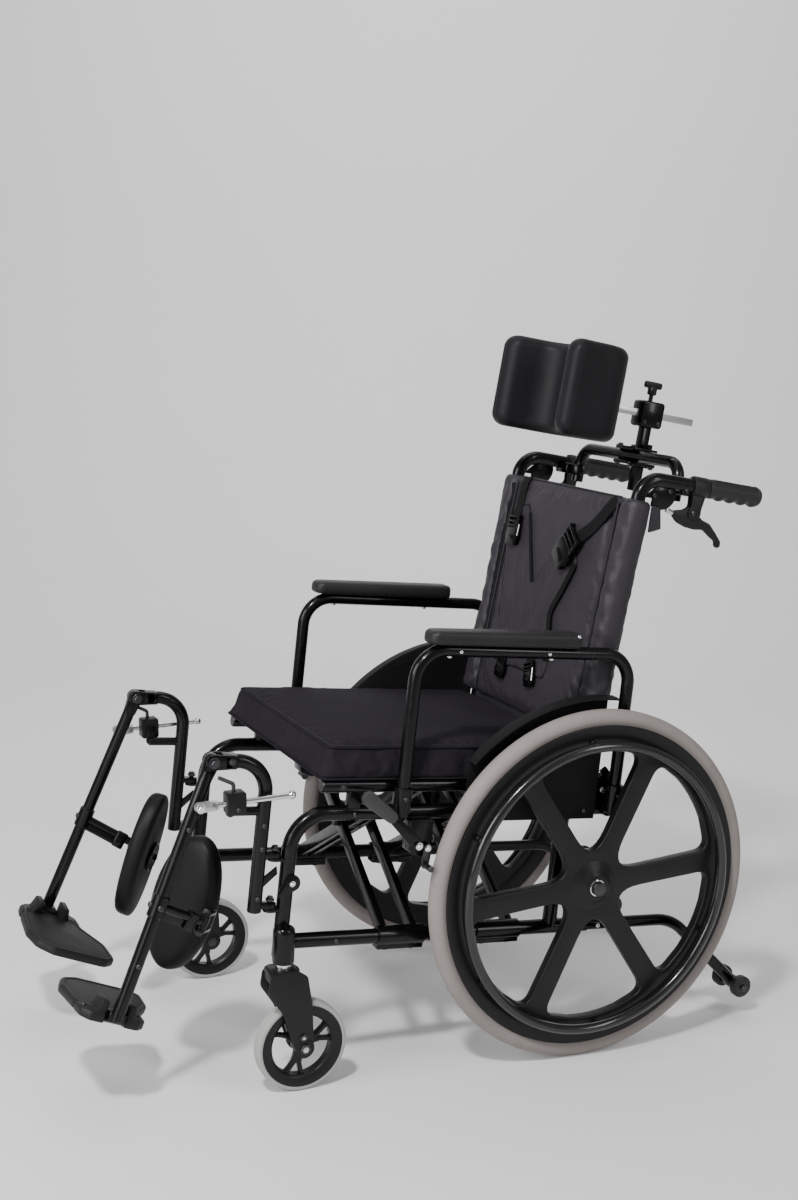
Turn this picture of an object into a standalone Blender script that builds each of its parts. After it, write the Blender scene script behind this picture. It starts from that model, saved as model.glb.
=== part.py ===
"""Reclining folding wheelchair, metres, +Z up, front toward -Y, occupant's left at +X."""
import math

import bmesh
import bpy
from mathutils import Matrix, Vector

for item in list(bpy.data.objects):
    bpy.data.objects.remove(item, do_unlink=True)

# Driving dimensions. Frame values are measured from the rear axle, in a frame that leans
# back by FRAME_TILT: y runs rearward, z upward.
FRAME_TILT = math.radians(4.0)
AXLE_Y = 0.2470
FIT = 0.0004
SKIN = 0.0003

WHEEL_R = 0.305
WHEEL_X = 0.281
TYRE_W = 0.034
TYRE_H = 0.0285
RIM_H = 0.028
SPOKE_T = 0.018
PUSH_RIM_R = 0.2485
PUSH_RIM_TUBE = 0.0085
PUSH_RIM_OUT = 0.029
TAB_OUT = 0.0180
TAB_R = 0.0055
AXLE_R = 0.006
WHEEL_SEGMENTS = 32

SIDE_X = 0.219
TUBE_R = 0.0125
LOW_Z = -0.096
HIGH_Z = 0.116
FRONT_Y = -0.533
REAR_Y = -0.034
HIGH_END_Y = 0.062
LOW_END_Y = 0.040
FRAME_BEND = 0.060

RAIL_R = 0.0115
RAIL_Z = 0.161
RAIL_FRONT = -0.490
RAIL_BACK = -0.036
BRACE_FRONT_Y = -0.322
BRACE_REAR_Y = -0.140
ARM_OUT = 0.028
ARM_IN = 0.011
ARM_T = 0.012
ARM_H = 0.022
SLEEVE_R = 0.0165

CASTER_R = 0.0765
CASTER_OUT = 0.020
CASTER_W = 0.026
STEM_R = 0.008
STEM_Y = -0.540
TRAIL = 0.034
HOUSING_R = 0.018
HOUSING_LOW = 0.219
HOUSING_HIGH = 0.278
FORK_TOP = 0.2105

ANTI_R = 0.0105
ANTI_BEND_Y = 0.222
ANTI_Y = 0.3765
ANTI_Z = -0.2233
ANTI_WHEEL_R = 0.020

ARM_TUBE_R = 0.011
ARM_OFFSET = 0.027
ARM_FRONT_Y = -0.357
ARM_REAR_Y = 0.046
ARM_Z = 0.392
SOCKET_R = 0.0155
SOCKET_LOW = 0.116
SOCKET_HIGH = 0.165
PAD_LONG = 0.283
PAD_WIDE = 0.046
PAD_HIGH = 0.025

POST_X = 0.210
POST_R = 0.0125
POST_LEAN = math.radians(4.5)
HINGE_Y = 0.004
HINGE_Z = 0.150
POST_LONG = 0.544
POST_BEND = 0.038
HANDLE_LONG = 0.244
GRIP_LONG = 0.109
GRIP_R = 0.0172
COLLAR_LONG = 0.0315
COLLAR_R = 0.0175
COLLAR_START = HANDLE_LONG - GRIP_LONG - COLLAR_LONG - 0.0005
BACK_LOW = 0.080
BACK_HIGH = POST_LONG - POST_BEND - 0.001
BACK_T = 0.028
BOLSTER_R = 0.0245
VEST_LOW = 0.145
VEST_SPAN = BACK_HIGH - VEST_LOW

CUSHION_T = 0.048
CUSHION_HALF = 0.2330
CUSHION_FRONT = -0.490
CUSHION_BACK = -0.018
CUSHION_CROWN = 0.10

BAR_HALF = 0.165
BAR_R = 0.011
BAR_B = 0.105
BAR_RISE = 0.0345
BAR_U = POST_LONG + BAR_RISE
BAR_DROP = 0.066
STEM_HALF = 0.009
STEM_RISE = 0.0795
STEM_TOP = BAR_U + STEM_RISE
BLOCK_HALF = 0.024
SLIDE_HALF = 0.0065
HEAD_HALF = 0.125
HEAD_BACK = 0.002
HEAD_DEEP = 0.131
HEAD_UNDER = 0.061
HEAD_TALL = 0.160
HEAD_LOW = STEM_TOP - HEAD_UNDER
HEAD_HIGH = HEAD_LOW + HEAD_TALL
HEAD_T = 0.046
HEAD_BEND = 0.034

HANGER_R = 0.0115
HANGER_Y = -0.583
HANGER_LOW = -0.044
PIVOT_Y = -0.676
PIVOT_Z = 0.203
LEG_R = 0.0105
LEG_LONG = 0.420
LEG_LEAN = math.radians(17.3)
LEG_SPLAY = math.radians(3.7)
ROD_ARM = 0.070
ROD_R = 0.0045
ROD_OUT = 0.024
ROD_LONG = 0.150
CLAMP_ANGLE = math.radians(31.0)
CALF_HALF_W = 0.060
CALF_HALF_H = 0.112
CALF_T = 0.034
FOOT_IN = 0.168
FOOT_T = 0.0132

GUARD_T = 0.003
GUARD_CLEAR = 0.0145
GUARD_R = WHEEL_R + GUARD_CLEAR
GUARD_LIP = 0.026

ARM_X = SIDE_X + ARM_OFFSET
CASTER_X = SIDE_X + CASTER_OUT
GUARD_X = SIDE_X + TUBE_R + 0.0110
BRAKE_X = ARM_X + SOCKET_R + 0.0008
AXLE_INNER = SIDE_X + TUBE_R + 0.0120
FOLD_MID_Z = (LOW_Z + RAIL_Z) / 2
FLAT = math.cos(math.pi / 8)

TILT = Matrix.Translation((0, AXLE_Y, WHEEL_R)) @ Matrix.Rotation(-FRAME_TILT, 4, "X")
LEVEL = Matrix.Translation((0, AXLE_Y, 0))
POST = Matrix.Translation((0, HINGE_Y, HINGE_Z)) @ Matrix.Rotation(-POST_LEAN, 4, "X")
LEG_TURN = Matrix.Rotation(-LEG_LEAN, 4, "X")
LEG_PIVOT = Matrix.Translation((SIDE_X, PIVOT_Y, PIVOT_Z)) @ LEG_TURN
LEG = LEG_PIVOT @ Matrix.Rotation(-LEG_SPLAY, 4, "Y")
UPRIGHT = TILT.inverted() @ LEVEL


# Mesh helpers

def raw(points, faces):
    mesh = bpy.data.meshes.new("raw")
    mesh.from_pydata([tuple(p) for p in points], [], faces)
    work = bmesh.new()
    work.from_mesh(mesh)
    bmesh.ops.recalc_face_normals(work, faces=work.faces)
    work.to_mesh(mesh)
    work.free()
    thing = bpy.data.objects.new("raw", mesh)
    bpy.context.scene.collection.objects.link(thing)
    return thing


def filleted(points, bend, steps):
    points = [Vector(p) for p in points]
    path = [points[0]]
    for before, here, after in zip(points, points[1:], points[2:]):
        back = (before - here).normalized()
        ahead = (after - here).normalized()
        half = back.angle(ahead) / 2
        reach = min(bend / math.tan(half), (before - here).length * 0.9, (after - here).length * 0.9)
        radius = reach * math.tan(half)
        middle = here + (back + ahead).normalized() * (radius / math.sin(half))
        start = here + back * reach - middle
        stop = here + ahead * reach - middle
        turn = start.angle(stop)
        axis = start.cross(stop).normalized()
        for step in range(steps + 1):
            path.append(middle + Matrix.Rotation(turn * step / steps, 3, axis) @ start)
    path.append(points[-1])
    return path


def sweep(points, radius, sides=10, bend=0.05, steps=4, phase=0.5):
    path = filleted(points, bend, steps)
    tangents = []
    for index in range(len(path)):
        ahead = path[min(index + 1, len(path) - 1)] - path[max(index - 1, 0)]
        tangents.append(ahead.normalized())
    side = Vector((1, 0, 0))
    if abs(tangents[0].x) > 0.8:
        side = Vector((0, 0, 1))
    side = (side - tangents[0] * side.dot(tangents[0])).normalized()
    verts = []
    for point, tangent in zip(path, tangents):
        side = (side - tangent * side.dot(tangent)).normalized()
        up = tangent.cross(side)
        for k in range(sides):
            turn = 2 * math.pi * (k + phase) / sides
            verts.append(point + (side * math.cos(turn) + up * math.sin(turn)) * radius)
    faces = []
    for ring in range(len(path) - 1):
        for k in range(sides):
            a = ring * sides + k
            b = ring * sides + (k + 1) % sides
            faces.append((a, b, b + sides, a + sides))
    faces.append(tuple(range(sides)))
    faces.append(tuple(range((len(path) - 1) * sides, len(path) * sides)))
    return raw(verts, faces)


def rod(start, stop, radius, sides=8):
    return sweep([start, stop], radius, sides)


def lathe(profile, segments, place):
    """Turn a closed loop of (along, radius) pairs about the local X axis."""
    verts = []
    for k in range(segments):
        turn = 2 * math.pi * k / segments
        for along, radius in profile:
            verts.append(place @ Vector((along, radius * math.cos(turn), radius * math.sin(turn))))
    count = len(profile)
    faces = []
    for k in range(segments):
        for i in range(count):
            j = (i + 1) % count
            a = k * count
            b = ((k + 1) % segments) * count
            faces.append((a + i, a + j, b + j, b + i))
    return raw(verts, faces)


def spindle(profile, segments, place):
    """Turn an open run of (along, radius) pairs about the local X axis and cap both ends."""
    rings = []
    for along, radius in profile:
        ring = []
        for k in range(segments):
            turn = 2 * math.pi * (k + 0.5) / segments
            ring.append(place @ Vector((along, radius * math.cos(turn), radius * math.sin(turn))))
        rings.append(ring)
    return loft(rings)


def prism(outline, low, high, axis="X"):
    """Extrude an outline: (y, z) along X, (x, z) along Y or (x, y) along Z."""
    verts = []
    for level in (low, high):
        for a, b in outline:
            if axis == "X":
                verts.append((level, a, b))
            elif axis == "Y":
                verts.append((a, level, b))
            else:
                verts.append((a, b, level))
    count = len(outline)
    faces = [tuple(range(count)), tuple(range(count, 2 * count))]
    for i in range(count):
        j = (i + 1) % count
        faces.append((i, j, count + j, count + i))
    return raw(verts, faces)


def bore(start, stop, radius, sides=8):
    """Cutter for a round hole: its flats face a shaft's corners and clear them by FIT."""
    return sweep([start, stop], (radius + FIT) / math.cos(math.pi / sides), sides, phase=0.0)


def box(low, high):
    outline = [(low[0], low[1]), (high[0], low[1]), (high[0], high[1]), (low[0], high[1])]
    return prism(outline, low[2], high[2], "Z")


def loft(rings):
    count = len(rings[0])
    verts = [point for ring in rings for point in ring]
    faces = [tuple(range(count)), tuple(range((len(rings) - 1) * count, len(rings) * count))]
    for r in range(len(rings) - 1):
        for i in range(count):
            j = (i + 1) % count
            a = r * count
            faces.append((a + i, a + j, a + count + j, a + count + i))
    return raw(verts, faces)


def arc(cx, cy, radius, start, stop, steps):
    points = []
    for k in range(steps + 1):
        turn = math.radians(start + (stop - start) * k / steps)
        points.append((cx + radius * math.cos(turn), cy + radius * math.sin(turn)))
    return points


def rounded(cx, cy, half_x, half_y, radius, steps=2):
    points = []
    for sx, sy, start in ((1, 1, 0), (-1, 1, 90), (-1, -1, 180), (1, -1, 270)):
        corner_x = cx + sx * (half_x - radius)
        corner_y = cy + sy * (half_y - radius)
        points += arc(corner_x, corner_y, radius, start, start + 90, steps)
    return points


def link(first, second, r_first, r_second, steps=4):
    angle = math.degrees(math.atan2(second[1] - first[1], second[0] - first[0]))
    points = arc(first[0], first[1], r_first, angle + 90, angle + 270, steps)
    points += arc(second[0], second[1], r_second, angle - 90, angle + 90, steps)
    return points


def combine(base, tools, operation):
    for tool in tools:
        step = base.modifiers.new("step", "BOOLEAN")
        step.operation = operation
        step.solver = "EXACT"
        step.object = tool
    graph = bpy.context.evaluated_depsgraph_get()
    mesh = bpy.data.meshes.new_from_object(base.evaluated_get(graph))
    base.modifiers.clear()
    base.data = mesh
    for tool in tools:
        bpy.data.objects.remove(tool, do_unlink=True)
    return base


def weld(base, *tools):
    return combine(base, tools, "UNION")


def cut(base, *tools):
    return combine(base, tools, "DIFFERENCE")


def move(thing, matrix):
    thing.data.transform(matrix)
    return thing


def surface(name, colour, metallic, roughness):
    material = bpy.data.materials.new(name)
    material.use_nodes = True
    shader = material.node_tree.nodes["Principled BSDF"]
    shader.inputs["Base Color"].default_value = (*colour, 1)
    shader.inputs["Metallic"].default_value = metallic
    shader.inputs["Roughness"].default_value = roughness
    return material


LOOKS = {
    "paint": ((0.010, 0.010, 0.011), 0.0, 0.28),
    "nylon": ((0.016, 0.016, 0.018), 0.0, 0.42),
    "tyre": ((0.50, 0.47, 0.45), 0.0, 0.75),
    "caster": ((0.46, 0.46, 0.46), 0.0, 0.65),
    "pad": ((0.018, 0.018, 0.020), 0.0, 0.6),
    "cloth": ((0.032, 0.030, 0.036), 0.0, 0.9),
    "chrome": ((0.75, 0.75, 0.76), 1.0, 0.14),
    "satin": ((0.62, 0.62, 0.63), 1.0, 0.35),
    "rubber": ((0.020, 0.020, 0.021), 0.0, 0.7),
}


def place(thing, name, look, origin=(0, 0, 0), matrix=TILT, flip=False):
    """Finish a body: world coordinates, its own material, origin on its joint."""
    mesh = thing.data
    mesh.transform(matrix)
    spot = matrix @ Vector(origin)
    if flip:
        mesh.transform(Matrix.Scale(-1, 4, (1, 0, 0)))
        spot.x = -spot.x
    mesh.transform(Matrix.Translation(-spot))
    work = bmesh.new()
    work.from_mesh(mesh)
    bmesh.ops.remove_doubles(work, verts=work.verts, dist=0.000002)
    bmesh.ops.dissolve_degenerate(work, edges=work.edges, dist=0.000002)
    bmesh.ops.recalc_face_normals(work, faces=work.faces)
    work.to_mesh(mesh)
    work.free()
    mesh.materials.clear()
    mesh.materials.append(surface(name + "_surface", *LOOKS[look]))
    thing.name = name
    mesh.name = name
    thing.location = spot
    return thing


def pair(build, name, look, origin=(0, 0, 0), matrix=TILT):
    left = build()
    right = bpy.data.objects.new("raw", left.data.copy())
    bpy.context.scene.collection.objects.link(right)
    place(left, name + "_left", look, origin, matrix)
    place(right, name + "_right", look, origin, matrix, flip=True)


def along_x(y, z, x=0.0):
    return Matrix.Translation((x, y, z))


# Rear wheels

def rear_tyre():
    inner = WHEEL_R - TYRE_H
    bed = TYRE_W * 0.31
    half = TYRE_W / 2
    tread = WHEEL_R - 0.0004
    profile = [(-bed, inner), (-bed, inner + 0.0042), (-half, inner + 0.012), (-half * 0.55, tread)]
    profile += [(0.0, WHEEL_R)]
    profile += [(half * 0.55, tread), (half, inner + 0.012), (bed, inner + 0.0042), (bed, inner)]
    return lathe(profile, WHEEL_SEGMENTS, along_x(0, 0, WHEEL_X))


def spoke_outline(turn, inner, outer):
    outline = [(inner, -0.026), (0.070, -0.0195), (0.140, -0.0165), (0.212, -0.0210), (outer, -0.046)]
    outline += [(outer, 0.046), (0.212, 0.0210), (0.140, 0.0165), (0.070, 0.0195), (inner, 0.026)]
    points = []
    for out, across in outline:
        y = out * math.cos(turn) - across * math.sin(turn)
        z = out * math.sin(turn) + across * math.cos(turn)
        points.append((y, z))
    return points


def rim_tabs():
    """Where the six push rim tabs stand on the rim, as (y, z)."""
    spots = []
    for k in range(6):
        turn = math.radians(39 + 60 * k)
        reach = PUSH_RIM_R + 0.004
        spots.append((reach * math.cos(turn), reach * math.sin(turn)))
    return spots


def push_rim():
    profile = []
    for k in range(5):
        turn = math.pi * 0.4 * k + 0.3
        along = PUSH_RIM_OUT + PUSH_RIM_TUBE * math.cos(turn)
        profile.append((along, PUSH_RIM_R + PUSH_RIM_TUBE * math.sin(turn)))
    ring = lathe(profile, WHEEL_SEGMENTS, along_x(0, 0, WHEEL_X))
    feet = []
    for y, z in rim_tabs():
        start = (WHEEL_X + TAB_OUT + SKIN, y, z)
        feet.append(rod(start, (WHEEL_X + PUSH_RIM_OUT, y, z), TAB_R, 6))
    return weld(ring, *feet)


def rear_wheel():
    inner = WHEEL_R - TYRE_H - SKIN
    bed = TYRE_W * 0.31 + SKIN
    flange = bed + 0.0036
    low = inner - RIM_H + 0.004
    profile = [(-flange, inner + 0.0038), (-bed, inner + 0.0038), (-bed, inner), (bed, inner)]
    profile += [(bed, inner + 0.0038), (flange, inner + 0.0038)]
    profile += [(flange - 0.004, low), (-flange + 0.004, low)]
    wheel = lathe(profile, WHEEL_SEGMENTS, along_x(0, 0, WHEEL_X))
    inboard = AXLE_INNER + FIT - WHEEL_X
    hub = [(inboard, 0.022), (-0.0105, 0.034), (0.0105, 0.034), (0.018, 0.024), (0.021, 0.021)]
    parts = [spindle(hub, 12, along_x(0, 0, WHEEL_X))]
    for k in range(6):
        turn = math.radians(9 + 60 * k)
        outline = spoke_outline(turn, 0.018, low + 0.006)
        parts.append(prism(outline, WHEEL_X - SPOKE_T / 2, WHEEL_X + SPOKE_T / 2))
    for y, z in rim_tabs():
        start = (WHEEL_X + 0.004, y, z)
        parts.append(rod(start, (WHEEL_X + TAB_OUT, y, z), TAB_R, 6))
    weld(wheel, *parts)
    return cut(wheel, bore((0.2, 0, 0), (0.4, 0, 0), AXLE_R, 10))


def wheel_axle():
    inner = SIDE_X - 0.0004
    outer = WHEEL_X + 0.021 + FIT
    shaft = rod((inner - 0.004, 0, 0), (outer + 0.004, 0, 0), AXLE_R, 10)
    nut = rod((inner - 0.009, 0, 0), (inner, 0, 0), 0.0105, 6)
    cap = rod((outer, 0, 0), (outer + 0.010, 0, 0), 0.0125, 18)
    return weld(shaft, nut, cap)


pair(rear_tyre, "rear_tyre", "tyre", (WHEEL_X, 0, 0))
pair(rear_wheel, "rear_wheel", "nylon", (WHEEL_X, 0, 0))
pair(push_rim, "push_rim", "nylon", (WHEEL_X, 0, 0))
pair(wheel_axle, "wheel_axle", "paint", (SIDE_X, 0, 0))

# Casters, upright in the world

CASTER_Y = STEM_Y + TRAIL


def caster_tyre():
    half = CASTER_W / 2
    inner = CASTER_R - 0.0150
    profile = [(-half * 0.8, inner), (-half, inner + 0.0055), (-half * 0.75, CASTER_R - 0.0028)]
    profile += [(0.0, CASTER_R)]
    profile += [(half * 0.75, CASTER_R - 0.0028), (half, inner + 0.0055), (half * 0.8, inner)]
    return lathe(profile, 20, along_x(CASTER_Y, CASTER_R, CASTER_X))


def caster_wheel():
    rim = CASTER_R - 0.0150 - SKIN
    half = CASTER_W / 2
    profile = [(-half * 0.85, rim), (half * 0.85, rim), (half * 0.85, rim - 0.009)]
    profile += [(half * 0.45, rim - 0.013), (-half * 0.45, rim - 0.013), (-half * 0.85, rim - 0.009)]
    wheel = lathe(profile, 20, along_x(CASTER_Y, CASTER_R, CASTER_X))
    hub = [(-0.0165, 0.011), (-0.006, 0.0142), (0.006, 0.0142), (0.0165, 0.011)]
    parts = [spindle(hub, 12, along_x(CASTER_Y, CASTER_R, CASTER_X))]
    for k in range(5):
        turn = math.radians(20 + 72 * k)
        outline = []
        for out, across in ((0.008, -0.006), (0.052, -0.0075), (0.052, 0.0075), (0.008, 0.006)):
            bent = turn + 9 * out
            y = CASTER_Y + out * math.cos(bent) - across * math.sin(bent)
            z = CASTER_R + out * math.sin(bent) + across * math.cos(bent)
            outline.append((y, z))
        parts.append(prism(outline, CASTER_X - 0.005, CASTER_X + 0.005))
    weld(wheel, *parts)
    reach = 0.02
    start = (CASTER_X - reach, CASTER_Y, CASTER_R)
    return cut(wheel, bore(start, (CASTER_X + reach, CASTER_Y, CASTER_R), 0.0045, 8))


def caster_fork():
    gap = CASTER_W / 2 + 0.0045
    wall = 0.0042
    outline = [(STEM_Y - 0.018, FORK_TOP), (STEM_Y + 0.018, FORK_TOP), (STEM_Y + 0.032, FORK_TOP - 0.010)]
    outline += [(STEM_Y + 0.040, FORK_TOP - 0.026), (STEM_Y + 0.045, FORK_TOP - 0.060)]
    outline += arc(CASTER_Y, CASTER_R, 0.0165, 10, -190, 6)
    outline += [(STEM_Y - 0.006, FORK_TOP - 0.066), (STEM_Y - 0.030, FORK_TOP - 0.034)]
    outline += [(STEM_Y - 0.028, FORK_TOP - 0.014)]
    outer = prism(outline, CASTER_X + gap, CASTER_X + gap + wall)
    inner = prism(outline, CASTER_X - gap - wall, CASTER_X - gap)
    crown = [(STEM_Y - 0.017, FORK_TOP - 0.0007), (STEM_Y + 0.017, FORK_TOP - 0.0007)]
    crown += [(STEM_Y + 0.030, FORK_TOP - 0.0105), (STEM_Y + 0.035, FORK_TOP - 0.022)]
    crown += [(STEM_Y - 0.026, FORK_TOP - 0.022), (STEM_Y - 0.026, FORK_TOP - 0.0145)]
    bridge = prism(crown, CASTER_X - gap - 0.0012, CASTER_X + gap + 0.0012)
    pin = rod((CASTER_X, STEM_Y, FORK_TOP - 0.004), (CASTER_X, STEM_Y, HOUSING_HIGH - 0.016), STEM_R, 8)
    ring = rod((CASTER_X, STEM_Y, FORK_TOP - 0.002), (CASTER_X, STEM_Y, HOUSING_LOW - FIT), 0.0125, 8)
    reach = gap + wall + 0.003
    bolt = rod((CASTER_X - reach, CASTER_Y, CASTER_R), (CASTER_X + reach, CASTER_Y, CASTER_R), 0.0045, 8)
    near = CASTER_X + gap + 0.001
    head = rod((near, CASTER_Y, CASTER_R), (CASTER_X + reach + 0.002, CASTER_Y, CASTER_R), 0.0085, 8)
    spare_y = CASTER_Y - 0.003
    high = CASTER_R + 0.019
    spare = rod((near, spare_y, high), (CASTER_X + reach, spare_y, high), 0.0060, 6)
    return weld(bridge, outer, inner, pin, ring, bolt, head, spare)


pair(caster_tyre, "caster_tyre", "caster", (CASTER_X, CASTER_Y, CASTER_R), LEVEL)
pair(caster_wheel, "caster_wheel", "nylon", (CASTER_X, CASTER_Y, CASTER_R), LEVEL)
pair(caster_fork, "caster_fork", "nylon", (CASTER_X, STEM_Y, FORK_TOP), LEVEL)

# Side frames

SWING_Y = (FRONT_Y + HANGER_Y) / 2
PIN_LEVELS = (0.046, -0.038)
BRAKE_PIVOT = (-0.328, 0.072)
SHOE_PIVOT = (-0.312, 0.068)
GUARD_SCREWS = ((-0.205, HIGH_Z), (-0.010, HIGH_Z))
SADDLE_YS = (-0.430, -0.215, -0.075)


def side_frame():
    path = [(SIDE_X, HIGH_END_Y, HIGH_Z), (SIDE_X, FRONT_Y, HIGH_Z), (SIDE_X, FRONT_Y, LOW_Z - 0.024)]
    body = sweep(path, TUBE_R, 8, FRAME_BEND, 4)
    parts = [rod((SIDE_X, FRONT_Y, LOW_Z), (SIDE_X, LOW_END_Y, LOW_Z), TUBE_R)]
    parts.append(rod((SIDE_X, REAR_Y, LOW_Z), (SIDE_X, REAR_Y, HIGH_Z), TUBE_R))
    housing = rod((CASTER_X, STEM_Y, HOUSING_LOW), (CASTER_X, STEM_Y, HOUSING_HIGH), HOUSING_R, 12)
    parts.append(move(housing, UPRIGHT))
    plate_in = SIDE_X + TUBE_R - 0.0015
    parts.append(prism(rounded(-0.012, 0, 0.036, 0.052, 0.012), plate_in, plate_in + 0.0065))
    parts.append(rod((SIDE_X, 0, 0), (AXLE_INNER, 0, 0), 0.017, 12))
    for y in (ARM_FRONT_Y, ARM_REAR_Y):
        parts.append(rod((ARM_X, y, SOCKET_LOW), (ARM_X, y, SOCKET_HIGH), SOCKET_R, 10))
        parts.append(box((SIDE_X, y - 0.010, HIGH_Z - 0.009), (ARM_X, y + 0.010, HIGH_Z + 0.010)))
    for y in SADDLE_YS:
        parts.append(box((SIDE_X - 0.0085, y - 0.012, HIGH_Z), (SIDE_X + 0.0085, y + 0.012, RAIL_Z - 0.004)))
    wing = [(-0.345, HIGH_Z - 0.002), (-0.303, HIGH_Z - 0.002), (-0.303, 0.056)]
    wing += [(-0.314, 0.050), (-0.340, 0.058)]
    parts.append(prism(wing, SIDE_X + TUBE_R - 0.003, BRAKE_X - FIT))
    for spot in (BRAKE_PIVOT, SHOE_PIVOT):
        reach = BRAKE_X + 0.0075
        parts.append(rod((BRAKE_X - 0.004, *spot), (reach, *spot), 0.0035, 6))
    for y, z in GUARD_SCREWS:
        parts.append(rod((SIDE_X, y, z), (GUARD_X - SKIN, y, z), 0.008, 8))
    ear_in = POST_X + POST_R + FIT
    ear = [(-0.024, HIGH_Z), (-0.016, HINGE_Z + 0.004)]
    ear += arc(HINGE_Y, HINGE_Z, 0.018, 150, 80, 4)
    ear += arc(HINGE_Y, HINGE_Z, 0.052, 52, -30, 6)
    ear += [(0.046, HIGH_Z)]
    parts.append(prism(ear, ear_in, ear_in + 0.006))
    tail = POST_X - POST_R - FIT
    parts.append(rod((tail - 0.004, HINGE_Y, HINGE_Z), (ear_in + 0.003, HINGE_Y, HINGE_Z), 0.006, 8))
    parts.append(rod((tail - 0.006, HINGE_Y, HINGE_Z), (tail, HINGE_Y, HINGE_Z), 0.010, 8))
    for z in PIN_LEVELS:
        lug = link((SIDE_X, FRONT_Y), (SIDE_X, SWING_Y), 0.009, 0.0105)
        parts.append(prism(lug, z - 0.006, z, "Z"))
        parts.append(rod((SIDE_X, SWING_Y, z - 0.003), (SIDE_X, SWING_Y, z + 0.014), 0.0040, 6))
    latch = SIDE_X + TUBE_R - 0.002
    lever = link((FRONT_Y + 0.004, 0.006), (FRONT_Y - 0.005, -0.014), 0.014, 0.006)
    parts.append(prism(lever, latch, latch + 0.008))
    weld(body, *parts)
    holes = [bore((0.18, 0, 0), (0.30, 0, 0), AXLE_R, 10)]
    for y in (ARM_FRONT_Y, ARM_REAR_Y):
        floor = (ARM_X, y, SOCKET_LOW + 0.004)
        holes.append(bore(floor, (ARM_X, y, SOCKET_HIGH + 0.01), ARM_TUBE_R, 8))
    stem_low = (CASTER_X, STEM_Y, HOUSING_LOW - 0.01)
    stem = bore(stem_low, (CASTER_X, STEM_Y, HOUSING_HIGH - 0.014), STEM_R, 8)
    holes.append(move(stem, UPRIGHT))
    plug = (SIDE_X, LOW_END_Y - 0.062, LOW_Z)
    holes.append(bore(plug, (SIDE_X, LOW_END_Y + 0.01, LOW_Z), ANTI_R, 8))
    rail = (SIDE_X, RAIL_FRONT - 0.02, RAIL_Z)
    holes.append(bore(rail, (SIDE_X, RAIL_BACK + 0.02, RAIL_Z), RAIL_R, 8))
    return cut(body, *holes)


pair(side_frame, "side_frame", "paint", (SIDE_X, 0, LOW_Z))

# Cross braces

ARM_RUN = Vector((-2 * SIDE_X, 0, RAIL_Z - LOW_Z))


def brace_arm(y, inset):
    across = ARM_RUN.normalized()
    lift = Vector((0, 1, 0)).cross(across) * (ARM_H / 2)
    start = Vector((SIDE_X, 0, LOW_Z)) + across * inset
    stop = Vector((-SIDE_X, 0, RAIL_Z))
    outline = []
    for point in (start - lift, stop - lift, stop + lift, start + lift):
        outline.append((point.x, point.z))
    return prism(outline, y - ARM_T / 2, y + ARM_T / 2, "Y")


def brace(offset, pin):
    body = rod((-SIDE_X, RAIL_FRONT, RAIL_Z), (-SIDE_X, RAIL_BACK, RAIL_Z), RAIL_R)
    parts = []
    for y in (BRACE_FRONT_Y, BRACE_REAR_Y):
        half = ARM_OUT + 0.014
        parts.append(rod((SIDE_X, y - half, LOW_Z), (SIDE_X, y + half, LOW_Z), SLEEVE_R, 8))
        shoe = (SIDE_X - 0.016, y - half, LOW_Z - 0.021)
        parts.append(box(shoe, (SIDE_X + 0.010, y + half, LOW_Z - 0.006)))
        for side in (-1, 1):
            parts.append(brace_arm(y + side * offset, 0.010))
        if pin:
            reach = ARM_OUT + ARM_T / 2 + 0.004
            parts.append(rod((0, y - reach, FOLD_MID_Z), (0, y + reach, FOLD_MID_Z), 0.006, 8))
        else:
            parts.append(rod((0, y - offset, FOLD_MID_Z), (0, y + offset, FOLD_MID_Z), 0.0125, 8))
    weld(body, *parts)
    holes = [bore((SIDE_X, -0.45, LOW_Z), (SIDE_X, 0.0, LOW_Z), TUBE_R, 8)]
    if not pin:
        holes.append(bore((0, -0.45, FOLD_MID_Z), (0, 0.0, FOLD_MID_Z), 0.006, 8))
    return cut(body, *holes)


place(brace(ARM_OUT, True), "cross_brace_left", "paint", (SIDE_X, BRACE_FRONT_Y, LOW_Z))
place(brace(ARM_IN, False), "cross_brace_right", "paint", (0, BRACE_FRONT_Y, FOLD_MID_Z), flip=True)

# Anti-tip tubes and wheels


def anti_tip_tube():
    path = [(SIDE_X, LOW_END_Y - 0.060, LOW_Z), (SIDE_X, ANTI_BEND_Y, LOW_Z), (SIDE_X, ANTI_Y, ANTI_Z)]
    body = sweep(path, ANTI_R, 8, 0.09, 4)
    weld(body, rod((SIDE_X - 0.018, ANTI_Y, ANTI_Z), (SIDE_X + 0.018, ANTI_Y, ANTI_Z), 0.0125, 10))
    return cut(body, bore((SIDE_X - 0.05, ANTI_Y, ANTI_Z), (SIDE_X + 0.05, ANTI_Y, ANTI_Z), 0.005, 8))


def anti_tip_wheel():
    inner = 0.018 + FIT
    half = [(inner + 0.018, 0.014), (inner + 0.0145, ANTI_WHEEL_R), (inner + 0.0035, ANTI_WHEEL_R)]
    half += [(inner, 0.014), (inner, 0.005)]
    profile = half + [(-along, radius) for along, radius in reversed(half)]
    return spindle(profile, 12, along_x(ANTI_Y, ANTI_Z, SIDE_X))


pair(anti_tip_tube, "anti_tip_tube", "paint", (SIDE_X, LOW_END_Y, LOW_Z))
pair(anti_tip_wheel, "anti_tip_wheel", "rubber", (SIDE_X, ANTI_Y, ANTI_Z))

# Brakes

SHOE_TIP = (-math.sqrt(WHEEL_R ** 2 - 0.040 ** 2) - 0.0115, 0.040)


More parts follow.
